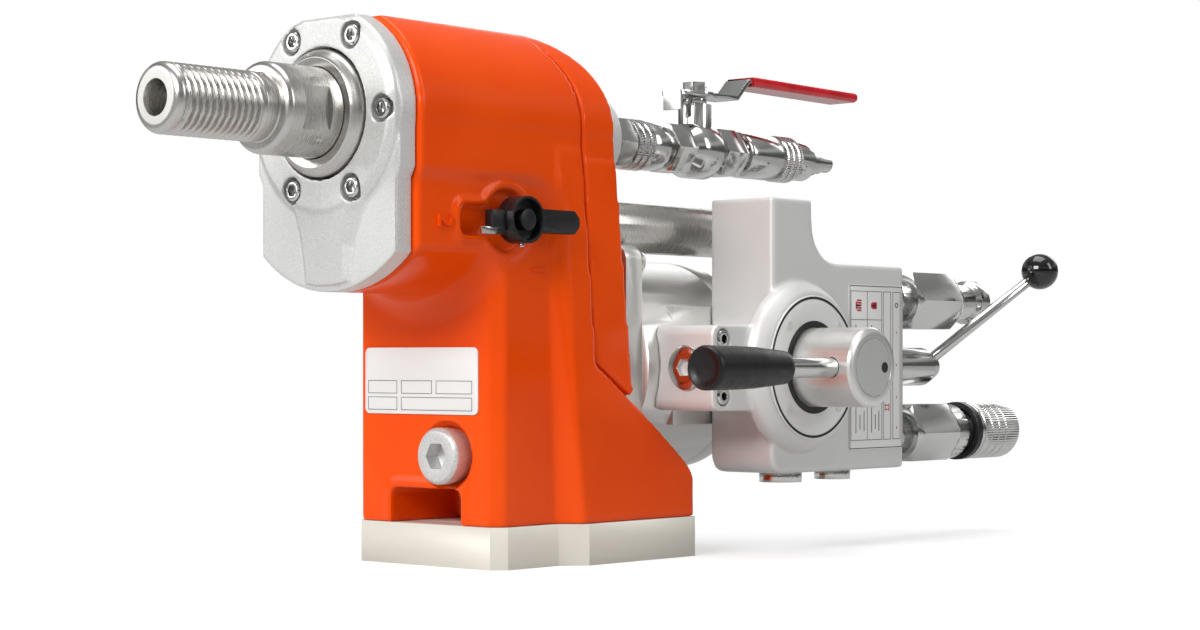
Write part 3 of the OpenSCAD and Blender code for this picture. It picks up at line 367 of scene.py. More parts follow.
def combine(base, *steps):
    """Joins, cuts or meets solids one after another. A step is (operation, mesh)."""
    for operation, other in steps:
        holder = bpy.data.objects.new("work", base)
        tool = bpy.data.objects.new("tool", other)
        for o in (holder, tool):
            bpy.context.scene.collection.objects.link(o)
        cut = holder.modifiers.new("cut", "BOOLEAN")
        cut.operation = operation
        cut.object = tool
        cut.solver = "EXACT"
        base = evaluated(holder)
        bpy.data.objects.remove(tool)
    return base


def cast(mesh, voxel, rounds):
    """A casting's surface: the solid is rebuilt on a voxel grid and relaxed, which rounds every edge."""
    holder = bpy.data.objects.new("work", mesh)
    bpy.context.scene.collection.objects.link(holder)
    grid = holder.modifiers.new("grid", "REMESH")
    grid.mode = "VOXEL"
    grid.voxel_size = voxel / 1000
    relax = holder.modifiers.new("relax", "SMOOTH")
    relax.factor = 0.5
    relax.iterations = rounds
    return evaluated(holder)


def spun(profile, axis, centre, steps, ripple=None):
    """A closed profile of [station, radius] points turned round an axis.

    With u the angle and p the profile point, the radius is radius(p) + ripple(u, station, radius).
    """
    profile = np.asarray(profile, float)
    u = np.linspace(0, TAU, steps, endpoint=False)
    along, radius = (np.repeat(profile[:, i : i + 1], steps, axis=1) for i in (0, 1))
    turn = np.repeat(u[None, :], len(profile), axis=0)
    if ripple is not None:
        radius = radius + ripple(turn, along, radius)
    first, second = [i for i in range(3) if i != axis]
    points = np.empty((len(profile), steps, 3))
    points[..., axis] = along + centre[axis]
    points[..., first] = centre[first] + radius * np.cos(turn)
    points[..., second] = centre[second] + radius * np.sin(turn)
    rows, cols = points.shape[:2]
    i, j = np.meshgrid(np.arange(rows), np.arange(cols), indexing="ij")
    i2, j2 = (i + 1) % rows, (j + 1) % cols
    quads = np.stack([i * cols + j, i2 * cols + j, i2 * cols + j2, i * cols + j2], -1).reshape(-1, 4)
    flat = points.reshape(-1, 3)
    a, b, c, d = (flat[quads[:, n]] for n in range(4))
    volume = np.sum(a * np.cross(b, c)) + np.sum(a * np.cross(c, d))
    if volume < 0:
        quads = quads[:, ::-1]
    mesh = bpy.data.meshes.new("turned")
    mesh.from_pydata(mm(flat).tolist(), [], quads.tolist())
    mesh.update()
    return mesh


def show(name, mesh, material, body, slot, *replaced, sharp=35):
    """Puts a finished mesh in the scene as a piece on a body, standing for the CAD nodes it replaces."""
    mesh.materials.clear()
    mesh.materials.append(material)
    mesh.polygons.foreach_set("use_smooth", np.ones(len(mesh.polygons), bool))
    mesh.set_sharp_from_angle(angle=math.radians(sharp))
    mesh.name = name
    holder = bpy.data.objects.new(name, mesh)
    bpy.context.scene.collection.objects.link(holder)
    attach(holder, body)
    if replaced:
        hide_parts(*replaced)
    return holder


def turned_ring(name, node, material, body, slot, profile, ripple=None, steps=240, sharp=35):
    """A turned piece about the Y axis through the middle of the CAD node that it replaces."""
    low, high = span(node)
    middle = (low + high) / 2
    mesh = spun(profile, 1, (middle[0], 0, middle[2]), steps, ripple)
    return show(name, mesh, material, body, slot, node, sharp=sharp)


# ---------- stations ----------

plate_low, plate_high = span("base_plate")
Y_FRONT, Y_REAR, FOOT_TOP = plate_low[1], plate_high[1], plate_high[2]
Y_HEAD = span("front_cover")[1][1]
Y_PAD = span("front_cover")[0][1]
TOP = span("gear_housing")[1][2]
Y_BACK = span("rear_cover")[1][1]
SPINDLE = span("spindle")
AXIS_Z = (SPINDLE[0][2] + SPINDLE[1][2]) / 2
LAY_Z = AXIS_Z - 52
Y_SWIVEL = span("water_swivel")[0][1]
SEAM_Y = Y_SWIVEL - 24
SEAM_C = Y_HEAD + 82.5
LEVER_Z = (span("gear_lever")[0][2] + span("gear_lever")[1][2]) / 2
LEVER_Y = span("gear_lever")[0][1] + 20
ORANGE = MATERIALS["orange_powder_coat"]
SEAM_FOOT = (-4.0, 96.5)
COVER_FOOT = (21.0, 78.5)


def head_slice(r, half, low_half, jog, y0, y1):
    """The head's cross-section carried along Y: round above, straight below, with an arc underneath."""
    low = LAY_Z - 30
    body = prism(1, [(-low_half, low), (low_half, low), (low_half, jog - 5), (half, jog), (half, AXIS_Z),
                     (-half, AXIS_Z), (-half, jog), (-low_half, jog - 5)], y0, y1)
    under = prism(1, circle(0, low + low_half + 22, low_half + 22, 120), y0 - 1, y1 + 1)
    dome = prism(1, circle(0, AXIS_Z, r, 96), y0, y1)
    roof = prism(1, [(-80, 0), (80, 0), (80, TOP), (-80, TOP)], y0 - 1, y1 + 1)
    return combine(body, ("UNION", dome), ("INTERSECT", under), ("INTERSECT", roof))


def seam_line():
    """The joint between housing and rear cover as [y, z] points, from top to bottom."""
    return path(
        (SEAM_C - 0.5, TOP + 2), arc(SEAM_C, AXIS_Z, SEAM_Y - SEAM_C, TOP - AXIS_Z, 80, 0),
        SEAM_FOOT, COVER_FOOT,
    )


# ---------- gear housing and rear cover ----------


def side_recess(side):
    """Cutter for the flank's sunk panel: its edges slant outwards, and its rear edge leans with the foot."""
    inner, outer = 48.7, 62.0
    ring = []
    for x, top, rear_top, rear_low, r in (
        (inner, 181.8, -30.8, -25.5, 13.0),
        (outer, 204.0, 5.0, -14.0, 17.0),
    ):
        slope = (rear_top - rear_low) / (159.0 - 22.0)
        yr = rear_low + slope * (top - 22.0)
        corner = arc(yr - r, top - r, r, r, 90, 0, 8)
        points = path((-140, top), corner, (rear_low - slope * 22.0, 0), (-140, 0))
        ring.append(np.insert(points, 0, side * x, axis=1))
    return loft(ring)


def gear_housing():
    """Foot, column and head in one casting, with sunk flanks, the lever's pocket and the foot's slot."""
    half, rear_half = plate_high[0] - 10, plate_high[0]
    low_ring, top_ring = (
        [(-wide, outer), (-wide, Y_REAR), (wide, Y_REAR), (wide, outer),
         (half - 1, inner), (half - 1, Y_FRONT + 6), (half - 7, Y_FRONT),
         (7 - half, Y_FRONT), (1 - half, Y_FRONT + 6), (1 - half, inner)]
        for wide, outer, inner in ((rear_half, -16.5, -25.5), (half + 1, -26.5, -32.0))
    )
    column = loft([[(x, y, FOOT_TOP) for x, y in low_ring], [(x, y, 200) for x, y in top_ring]])
    profile = path(
        (Y_FRONT - 1, 201), (Y_FRONT - 1, FOOT_TOP - 1), (Y_REAR + 1, FOOT_TOP - 1), (Y_REAR, 40),
        (Y_REAR - 3, 46), (Y_REAR - 11, 52.6), (Y_BACK, 76.5), COVER_FOOT, SEAM_FOOT, (SEAM_Y + 0.4, 201),
    )
    column = combine(column, ("INTERSECT", prism(0, profile, -80, 80)))
    head = head_slice(50.8, 50.5, 48.6, 186, Y_HEAD, -20)
    rear = combine(
        head_slice(50.8, 50.5, 50.5, 190, -40, Y_BACK),
        ("INTERSECT",
         prism(0, path((-45, 120), (-45, TOP + 2), seam_line()[:-2], (SEAM_Y + 2, 120)), -80, 80)),
    )
    # the fillet under the overhang follows the head's arch: z(x) = centre - sqrt(R^2 - x^2)
    arch_r = 48.6 + 22
    rings = []
    for x in np.linspace(-48.0, 48.0, 25):
        z = LAY_Z - 30 + arch_r - math.sqrt(arch_r**2 - x**2)
        corner = max(0.0, abs(x) - 43.0)
        front = Y_FRONT + corner
        outline = path((front + 2, z - 15), arc(front - 15, z - 15, 15, 15, 0, 90, 10),
                       (front - 15, z + 8), (front + 2, z + 8))
        rings.append(np.insert(outline, 0, x, axis=1))
    fillet = loft(rings)
    lip = prism(1, rounded(-26, 4, 28, 40.5, 6), Y_FRONT - 1.0, Y_FRONT + 4)
    lip_trim = prism(1, [(-40, 0), (40, 0), (40, FOOT_TOP), (-40, FOOT_TOP)], Y_FRONT - 5, Y_FRONT + 10)
    slot = prism(1, rounded(-22.5, 2, 24.5, 37, 4), Y_FRONT - 8, Y_FRONT + 46)
    bolt_x, bolt_z = 15, FOOT_TOP + 33
    boss = prism(0, circle(LEVER_Y, LEVER_Z, 18.0), 40, 50.2)
    lobe = prism(0, rounded(LEVER_Y - 33.5, LEVER_Z - 10, LEVER_Y, LEVER_Z + 9, 5), 40, 50.2)
    steps = [
        ("UNION", head), ("UNION", rear), ("UNION", fillet),
        ("DIFFERENCE", side_recess(1)), ("DIFFERENCE", side_recess(-1)),
        ("UNION", boss), ("UNION", lobe),
        ("DIFFERENCE", prism(0, circle(LEVER_Y, LEVER_Z, 14.5), 45.5, 60)),
        ("DIFFERENCE", prism(0, rounded(LEVER_Y - 30.5, LEVER_Z - 7.7, LEVER_Y, LEVER_Z + 6.7, 4), 44, 60)),
        ("UNION", combine(lip, ("DIFFERENCE", lip_trim))),
        ("DIFFERENCE", slot),
        ("DIFFERENCE", prism(1, circle(bolt_x, bolt_z, 16.5), Y_FRONT - 1, Y_FRONT + 2.5)),
        ("DIFFERENCE", prism(1, circle(bolt_x, bolt_z, 14.2), Y_FRONT - 1, Y_FRONT + 6.3)),
        ("DIFFERENCE", prism(1, circle(bolt_x, bolt_z, 8.4), Y_FRONT - 1, Y_FRONT + 45)),
        ("DIFFERENCE", prism(1, circle(0, AXIS_Z, 34.3), Y_HEAD - 1, Y_HEAD + 20)),
    ]
    return cast(combine(column, *steps), 1.2, 7)


def rear_cover():
    """Cap that closes the head behind, over its own seam, bored for the water swivel and the return pipe."""
    gap = 0.5
    front = seam_line()
    front[:, 0] += gap
    front[0, 0] = SEAM_C + gap
    outer = path(
        arc(SEAM_C + 10, AXIS_Z, Y_SWIVEL - SEAM_C - 10, TOP - AXIS_Z, 90, 0), (Y_BACK, 83),
        (COVER_FOOT[0] + 1.0, COVER_FOOT[1] + 2.6), (SEAM_FOOT[0] + 0.8, SEAM_FOOT[1] + 1.4),
    )
    profile = path((SEAM_C + gap, TOP), outer, front[1:-2][::-1])
    block = combine(
        head_slice(50.8, 50.5, 50.5, 190, -40, Y_BACK + 1),
        ("INTERSECT", prism(0, profile, -80, 80)),
    )
    half = plate_high[0] - 10
    low = loft([[(-half - 5.2, -40, 80), (-half - 5.2, 40, 80), (half + 5.2, 40, 80), (half + 5.2, -40, 80)],
                [(-half - 1, -40, 196), (-half - 1, 40, 196), (half + 1, 40, 196), (half + 1, -40, 196)]])
    low = combine(low, ("INTERSECT", prism(0, profile, -80, 80)))
    tube = span("return_tube")
    tube_x, tube_z = (tube[0][0] + tube[1][0]) / 2, (tube[0][2] + tube[1][2]) / 2
    steps = [
        ("UNION", low),
        ("DIFFERENCE", prism(1, circle(0, AXIS_Z, 24.6), Y_SWIVEL - 0.4, 60)),
        ("DIFFERENCE", prism(1, circle(0, AXIS_Z, 16.5), -60, 60)),
        ("DIFFERENCE", prism(1, circle(tube_x, tube_z, 16.8), Y_SWIVEL + 2.6, 60)),
        ("DIFFERENCE", prism(1, circle(tube_x, tube_z, 13.3), Y_SWIVEL - 1, 60)),
        ("DIFFERENCE", prism(1, circle(0, 96, 11.5), -60, 60)),
    ]
    return cast(combine(block, *steps), 1.1, 8)


show("housing_casting", gear_housing(), ORANGE, "housing", "orange_powder_coat", "gear_housing")
show("rear_cover_casting", rear_cover(), ORANGE, "housing", "orange_powder_coat", "rear_cover")


def raised_digit(name, digit, y, z, size):
    """A number cast into the flank, turned a quarter to the left as it stands on the casting."""
    text = bpy.data.curves.new(name, "FONT")
    text.body = digit
    text.size = size / 1000
    text.extrude = 0.0009
    text.align_x = "CENTER"
    text.align_y = "CENTER"
    holder = bpy.data.objects.new(name, text)
    bpy.context.scene.collection.objects.link(holder)
    mesh = evaluated(holder)
    points = np.empty(len(mesh.vertices) * 3)
    mesh.vertices.foreach_get("co", points)
    flat = points.reshape(-1, 3)
    # the text's right is down the flank and its top is towards the rear
    placed = np.stack([flat[:, 2] + 0.0491, flat[:, 1] + y / 1000, z / 1000 - flat[:, 0]], 1)
    mesh.vertices.foreach_set("co", placed.ravel())
    mesh.update()
    return show(name, mesh, ORANGE, "housing", "orange_powder_coat")


raised_digit("high_gear_mark", "2", -101.2, 162.3, 13)
raised_digit("low_gear_mark", "1", -38.5, 141.3, 13)

# ---------- front cover ----------


def front_cover():
    """Cast cap over the front bearing: a plate with a raised round pad and a rib that runs down from it."""
    y_plate = Y_PAD + 4.5
    plate = head_slice(48.5, 48.0, 45.4, 186, y_plate, Y_HEAD - 0.3)
    rings = []
    for y, r in ((Y_PAD, 44.6), (Y_PAD + 3.2, 48.3), (Y_HEAD - 0.3, 48.3)):
        ring = circle(0, AXIS_Z, r, 96)
        ring[:, 0] = np.clip(ring[:, 0], -47.6, 47.6)
        rings.append(np.insert(ring, 1, y, axis=1))
    pad = loft(rings)
    # the ramp below the pad sinks into the plate; a ring is z, left, right, face and the right flank's width
    ramp = loft([
        [(-left - 1.5, Y_HEAD - 1, z), (-left - 1.0, y_plate, z), (-left, y_face, z),
         (right, y_face, z), (right + flank, y_plate, z), (right + flank, Y_HEAD - 1, z)]
        for z, left, right, y_face, flank in (
            (AXIS_Z - 20, 38, 38, Y_PAD, 6), (AXIS_Z - 34, 26, 26, Y_PAD + 0.1, 7),
            (AXIS_Z - 46, 18, 16.5, Y_PAD + 0.5, 7), (AXIS_Z - 60, 14.5, 13.0, Y_PAD + 1.2, 5),
            (AXIS_Z - 85, 12, 13, Y_PAD + 2.6, 2.4),
        )
    ])
    under = prism(1, circle(0, LAY_Z - 30 + 45.4 + 22 + 3, 45.4 + 22, 120), Y_PAD - 1, Y_HEAD)
    roof = prism(1, [(-80, 0), (80, 0), (80, TOP - 2), (-80, TOP - 2)], Y_PAD - 1, Y_HEAD)
    steps = [
        ("UNION", combine(pad, ("UNION", ramp), ("INTERSECT", roof), ("INTERSECT", under))),
        ("DIFFERENCE", prism(1, circle(0, AXIS_Z, 30.6), Y_PAD - 1, Y_PAD + 8)),
        ("DIFFERENCE", prism(1, circle(0, AXIS_Z, 29.6), Y_PAD - 1, Y_HEAD + 1)),
    ]
    for a in range(30, 390, 60):
        x, z = 40 * math.sin(math.radians(a)), AXIS_Z + 40 * math.cos(math.radians(a))
        steps.append(("DIFFERENCE", prism(1, circle(x, z, 6.4), Y_PAD - 1, Y_PAD + 6.0)))
    return cast(combine(plate, *steps), 0.75, 4)


show("front_cover_casting", front_cover(), MATERIALS["silver_paint"], "housing", "silver_paint",
     "front_cover")

# ---------- spindle ----------

PITCH = 25.4 / 7
thread_low, thread_high = 6.0, 50.5


def thread(turn, along, radius):
    """Depth of a right-hand thread: a raised cosine of turn/TAU + along/PITCH, faded at both ends."""
    phase = (turn / TAU + along / PITCH) % 1.0
    groove = np.clip(1.25 * (0.5 - 0.5 * np.cos(TAU * phase)) - 0.12, 0, 1)
    fade = np.clip((along - thread_low + 2) / 3, 0, 1) * np.clip((thread_high - along) / 3.5, 0, 1)
    outside = radius > 12
    return np.where(outside, -2.0 * groove * fade, 0.0)


def spindle():
    """The spindle as one turned skin: threaded nose, neck, body with two flats, bore and hidden rear part."""
    length = SPINDLE[1][1] - SPINDLE[0][1]
    nose = path((3.2, 7.0), (0, 8.2), (0, 11.6), arc(3.8, 12.0, 3.8, 3.87, 180, 90, 6))
    fine = np.arange(4.2, 53.0, 0.28)
    body = path(
        nose, np.stack([fine, np.full_like(fine, 15.87)], 1), (53.4, 15.5), (57, 15.4), (57.6, 15.9),
        arc(61, 17.8, 3.2, 3.2, 180, 90, 6), (61.5, 21), (110, 21), (110.3, 20), (126.5, 20), (126.8, 15),
        (246.8, 15), (246.8, 12), (length, 12), (length, 7),
    )
    mesh = spun(body, 1, (0, SPINDLE[0][1], AXIS_Z), 144, thread)
    flat_low, flat_high = SPINDLE[0][1] + 68, SPINDLE[0][1] + 84
    cut = [prism(0, [(flat_low, AXIS_Z - 30), (flat_high, AXIS_Z - 30), (flat_high, AXIS_Z + 30),
                     (flat_low, AXIS_Z + 30)], side * 18.5, side * 30) for side in (-1, 1)]
    return combine(mesh, *[("DIFFERENCE", c) for c in cut])


show("spindle_turned", spindle(), MATERIALS["machined_steel"], "spindle_group", "machined_steel",
     "spindle", sharp=28)

# ---------- valve block ----------

BLOCK = span("valve_block")
PAD_X = 50.0
BLOCK_X = BLOCK[1][0] - 9.2
DIAL_FACE = span("dial_plate")[1][0]
DIAL_Y = (span("dial_plate")[0][1] + span("dial_plate")[1][1]) / 2
DIAL_Z = (span("dial_plate")[0][2] + span("dial_plate")[1][2]) / 2
BLOCK_Y = DIAL_Y - 21.5
BLOCK_REAR = BLOCK[1][1]
BLOCK_LOW = BLOCK[0][2]
BLOCK_TOP = 2 * DIAL_Z - BLOCK_LOW
TOWER_TOP = BLOCK[1][2]


def valve_block():
    """Milled and blasted block: body, tower with a hollow shoulder, lug at the front and round dial boss."""
    tower = 33.5
    profile = path(
        arc(BLOCK_Y + 9, BLOCK_LOW + 9, 9, 9, 180, 270, 6), (BLOCK_REAR, BLOCK_LOW), (BLOCK_REAR, BLOCK_TOP),
        arc(BLOCK_Y + tower + 21, BLOCK_TOP + 20, 20.5, 20, 270, 180, 10), (BLOCK_Y + tower, TOWER_TOP),
        (BLOCK_Y, TOWER_TOP),
    )
    body = prism(0, profile, PAD_X, BLOCK_X)
    lug = prism(0, rounded(BLOCK_Y - 47, DIAL_Z - 21.5, BLOCK_Y + 4, DIAL_Z + 21, 5), PAD_X, BLOCK_X - 0.5)
    boss_outline = [(-3, 0.01), (-3, 43.6), (3.0, 43.4), (4.6, 42.6), (7.6, 39.8), (8.6, 38.8), (9.2, 37.6),
                    (9.2, 0.01)]
    boss = spun(boss_outline, 0, (BLOCK_X, DIAL_Y, DIAL_Z), 96)
    tube = span("return_tube")
    tube_x, tube_z = (tube[0][0] + tube[1][0]) / 2, (tube[0][2] + tube[1][2]) / 2
    arm_y = tube[1][1] - 6
    arm = prism(1, rounded(tube_x - 15, tube_z - 15, PAD_X + 10, tube_z + 15, 6), arm_y, arm_y + 20)
    neck_outline = [(PAD_X, BLOCK_TOP - 2), (PAD_X + 10, BLOCK_TOP - 2), (PAD_X + 10, tube_z),
                    (PAD_X, tube_z)]
    neck = prism(1, neck_outline, arm_y, arm_y + 20)
    steps = [("UNION", lug), ("UNION", boss), ("UNION", arm), ("UNION", neck)]
    hub_x = (span("flow_lever_hub")[0][0] + span("flow_lever_hub")[1][0]) / 2
    steps += [
        ("DIFFERENCE", prism(1, circle(tube_x, tube_z, 12.9), arm_y - 1, arm_y + 6)),
        ("DIFFERENCE", prism(1, circle(0, DIAL_Z + 1, 54.7, 120), BLOCK_Y - 56, BLOCK_Y + 31.8)),
        ("DIFFERENCE", prism(1, circle(hub_x, DIAL_Z, 6.6), BLOCK_REAR - 35, BLOCK_REAR + 2)),
        ("DIFFERENCE", prism(0, circle(DIAL_Y, DIAL_Z, 15.6), PAD_X + 14, BLOCK_X + 20)),
    ]
    for z in (DIAL_Z + 14.2, DIAL_Z - 14.2):
        steps.append(("DIFFERENCE", prism(0, circle(BLOCK_Y - 38.5, z, 4.8), BLOCK_X - 9, BLOCK_X + 9)))
    return cast(combine(body, *steps), 1.05, 9)


show("valve_block_body", valve_block(), MATERIALS["blasted_aluminium"], "housing", "blasted_aluminium",
     "valve_block")

# ---------- selector knob, dial and label ----------


def knob():
    """Aluminium knob with a wide bevel and an inset disc, bored across for the rod."""
    low, high = span("selector_knob")
    length = high[0] - low[0]
    profile = [(0, 8.2), (0, 19.4), (0.6, 20), (length - 2.2, 20), (length - 0.9, 19.2),
               (length - 0.2, 17.8), (length, 16.2), (length, 15.0), (length - 0.7, 14.8),
               (length - 0.7, 14.4), (length - 0.1, 14.2), (length - 0.1, 0.01), (11, 0.01), (11, 8.2)]
    mesh = spun(profile, 0, (low[0], DIAL_Y, DIAL_Z), 128)
    rod_x = (span("selector_rod")[0][0] + span("selector_rod")[1][0]) / 2
    rod = prism(1, circle(rod_x, DIAL_Z, 5.15), DIAL_Y - 40, DIAL_Y + 0.5)
    screw = prism(2, circle(low[0] + 9, DIAL_Y - 4, 1.9, 24), DIAL_Z + 12, DIAL_Z + 30)
    return combine(mesh, ("DIFFERENCE", rod), ("DIFFERENCE", screw))


show("selector_knob_turned", knob(), MATERIALS["milled_aluminium"], "selector", "milled_aluminium",
     "selector_knob", sharp=25)


def band(name, material, body, slot, x, centre_y, centre_z, inner, outer, height=0.12, steps=96):
    """A flat ring of ink that stands height above the plane X = x."""
    profile = [(0, inner), (height, inner), (height, outer), (0, outer)]
    return show(name, spun(profile, 0, (x, centre_y, centre_z), steps), material, body, slot)


def strokes(name, material, body, slot, x, lines, width, height=0.1):
    """Ink lines on the plane X = x. Each line is y0, z0, y1, z1, drawn as a thin bar of the given width."""
    lines = np.asarray(lines, float)
    start_at, end_at = lines[:, :2], lines[:, 2:]
    way = end_at - start_at
    way /= np.maximum(np.linalg.norm(way, axis=1, keepdims=True), 1e-6)
    side = np.stack([-way[:, 1], way[:, 0]], 1) * width / 2
    ends = way * width / 2
    corners = np.stack([start_at - ends - side, end_at + ends - side, end_at + ends + side,
                        start_at - ends + side], 1)
    count = len(lines)
    points = np.empty((count, 2, 4, 3))
    points[:, 0, :, 0], points[:, 1, :, 0] = x, x + height
    points[..., 1:] = corners[:, None]
    faces = []
    for n in range(count):
        b = n * 8
        faces += [(b + 3, b + 2, b + 1, b), (b + 4, b + 5, b + 6, b + 7)]
        faces += [(b + i, b + (i + 1) % 4, b + 4 + (i + 1) % 4, b + 4 + i) for i in range(4)]
    mesh = bpy.data.meshes.new(name)
    mesh.from_pydata(mm(points.reshape(-1, 3)).tolist(), [], faces)
    mesh.update()
    return show(name, mesh, material, body, slot)


band("dial_outer_line", BLACK_INK_AND_SHADE, "housing", "black_plastic", DIAL_FACE, DIAL_Y, DIAL_Z, 34.6, 35.9)
# painted shade: a black ring just outside the knob stands for the shadowed gap between knob and dial
band("dial_gap_painted_shade", BLACK_INK_AND_SHADE, "housing", "black_plastic", DIAL_FACE, DIAL_Y, DIAL_Z, 20.2, 23.6)
for n, a in enumerate((45, 135, 225, 315)):
    y, z = DIAL_Y + 29.4 * math.cos(math.radians(a)), DIAL_Z + 29.4 * math.sin(math.radians(a))
    band(f"dial_rivet_{n}", MATERIALS["blasted_aluminium"], "housing", "blasted_aluminium", DIAL_FACE, y, z,
         0.01, 2.3, 0.5, 24)

LABEL = span("spec_label")
LABEL_X = LABEL[1][0]
LABEL_Y0, LABEL_Y1 = LABEL[0][1], LABEL[1][1]
LABEL_Z0, LABEL_Z1 = LABEL[0][2], LABEL[1][2]


def box_lines(y0, z0, y1, z1):
    """The four sides of a box."""
    return [(y0, z0, y1, z0), (y1, z0, y1, z1), (y1, z1, y0, z1), (y0, z1, y0, z0)]


def label_print():
    """The table's lines, bars for its figures, roman gear numbers, and the flow lever's O and I marks."""
    width = LABEL_Y1 - LABEL_Y0
    y = [LABEL_Y0 + width * f for f in (0.03, 0.33, 0.60, 0.63, 0.77, 0.81, 0.95)]
    z0, z1 = LABEL_Z0 + 5, LABEL_Z1 - 3.5
    frame_lines = box_lines(LABEL_Y0 + 0.5, LABEL_Z0 + 0.7, LABEL_Y1 - 0.7, LABEL_Z1 - 0.7)
    strokes("label_border", GREY_INK, "housing", "printed_foil", LABEL_X, frame_lines, 0.45)
    table = box_lines(y[0], z0, y[2], z1) + [(y[1], z0, y[1], z1), (y[0], z1 - 15, y[2], z1 - 15)]
    table += box_lines(y[3], z0, y[4], z1) + box_lines(y[5], z0, y[6], z1)
    strokes("label_table", GREY_INK, "housing", "printed_foil", LABEL_X, table, 0.3)
    # figures stand as plain bars, in rows that read from top to bottom
    figures = []
    for a, b in ((y[0], y[1]), (y[1], y[2])):
        for low, high in ((z1 - 33, z1 - 18), (z0 + 4, z0 + 17), (z0 + 28, z0 + 42)):
            for f, cut in ((0.3, 0.0), (0.55, 2.0), (0.8, 1.0)):
                figures.append((a + (b - a) * f, low + cut, a + (b - a) * f, high - cut * 2))
    strokes("label_figures", GREY_INK, "housing", "printed_foil", LABEL_X, figures, 0.55)
    red = []
    middle = (y[3] + y[4]) / 2
    for count, zc in ((3, z1 - 30), (2, z0 + 17)):
        for n in range(count):
            zz = zc + (n - (count - 1) / 2) * 2.1
            red.append((middle - 1.6, zz, middle + 1.6, zz))
        half = (count - 1) / 2 * 2.1 + 0.8
        red += [(middle + side, zc - half, middle + side, zc + half) for side in (-1.8, 1.8)]
    strokes("label_gears", RED_INK, "housing", "printed_foil", LABEL_X, red, 0.5)
    bits = []
    for a, b, small in ((y[0], y[1], 2.6), (y[1], y[2], 1.4)):
        c = (a + b) / 2
        bits += [(c - 1.5, z1 - 7.5 + d, c + 1.6, z1 - 7.5 + d) for d in np.linspace(-small, small, 5)]
        bits += [(c - 2.6, z1 - 7.5, c + 0.5, z1 - 7.5),
                 (c - 2.6, z1 - 7.5 - small * 0.6, c - 2.6, z1 - 7.5 + small * 0.6)]
    strokes("label_bits", RED_INK, "housing", "printed_foil", LABEL_X, bits, 0.9)
    c = (y[5] + y[6]) / 2
    marks = [(c, z0 + 5.5, c, z0 + 6.5)]
    marks += [(c, z0 + f * (z1 - z0), c, z0 + f * (z1 - z0) + 0.7) for f in (0.28, 0.5, 0.72)]
    strokes("label_flow", RED_INK, "housing", "printed_foil", LABEL_X, marks, 0.55)
    band("label_flow_zero", BLACK_INK_AND_SHADE, "housing", "printed_foil", LABEL_X, c, z1 - 7, 0.9, 1.4, 0.1, 24)


label_print()

CAP_X = span("selector_knob")[1][0]
band("knob_mark", BLACK_INK_AND_SHADE, "selector", "black_plastic", CAP_X - 0.12, DIAL_Y + 9.6, DIAL_Z, 0.01, 2.7,
     steps=32)


def plate_print():
    """The nameplate's empty boxes, on the plane Y = front: two rows of fields."""
    low, high = span("nameplate")
    boxes = []
    x0, x1, z0, z1 = low[0], high[0], low[2], high[2]
    for a, b, c, d in ((0.03, 0.06, 0.29, 0.25), (0.33, 0.06, 0.95, 0.25), (0.03, 0.31, 0.29, 0.50),
                       (0.33, 0.31, 0.60, 0.50), (0.64, 0.31, 0.95, 0.50)):
        boxes += box_lines(x0 + a * (x1 - x0), z0 + b * (z1 - z0), x0 + c * (x1 - x0), z0 + d * (z1 - z0))
    holder = strokes("nameplate_fields", GREY_INK, "housing", "printed_foil", 0.0, boxes, 0.3)
    points = np.empty(len(holder.data.vertices) * 3)
    holder.data.vertices.foreach_get("co", points)
    flat = points.reshape(-1, 3)
    placed = np.stack([flat[:, 1], low[1] / 1000 - flat[:, 0], flat[:, 2]], 1)
    holder.data.vertices.foreach_set("co", placed.ravel())
    holder.data.update()


plate_print()

# ---------- knurled rings ----------


def knurl(teeth, depth, test):
    """Straight knurling: the radius dips by depth between teeth, wherever test(station, radius) holds."""

    def ripple(turn, along, radius):
        wave = 0.5 - 0.5 * np.cos(teeth * turn)
        return np.where(test(along, radius), -depth * wave, 0.0)

    return ripple


def collar(name, node, body, r, inner, flip):
    """A water coupling's collar: three knurled rings and a plain skirt, in the CAD collar's length."""
    low, high = span(node)
    length = high[1] - low[1]
    ring = ((0.3, -1.0), (0.6, -0.1), (1.0, 0), (3.0, 0), (3.4, -0.1), (3.8, -1.0))
    profile = [(0, inner)]
    for n in range(3):
        profile += [(n * 5 + s, r + d) for s, d in ring]
    profile += [(15.6, r - 1.0), (16.2, r - 0.6), (length - 1.4, r - 0.6), (length - 0.4, r - 1.2),
                (length, r - 2.0), (length, inner)]
    profile = np.array(profile)
    profile[:, 0] = high[1] - profile[:, 0] if flip else low[1] + profile[:, 0]
    turned_ring(name, node, MATERIALS["plated_steel"], body, "plated_steel", profile,
                knurl(60, 0.35, lambda along, radius: radius > r - 0.3), steps=360)


collar("front_collar_knurled", "front_water_collar", "front_collar", 13.5, 10.35, False)
collar("rear_collar_knurled", "rear_water_collar", "rear_collar", 13.0, 9.95, True)


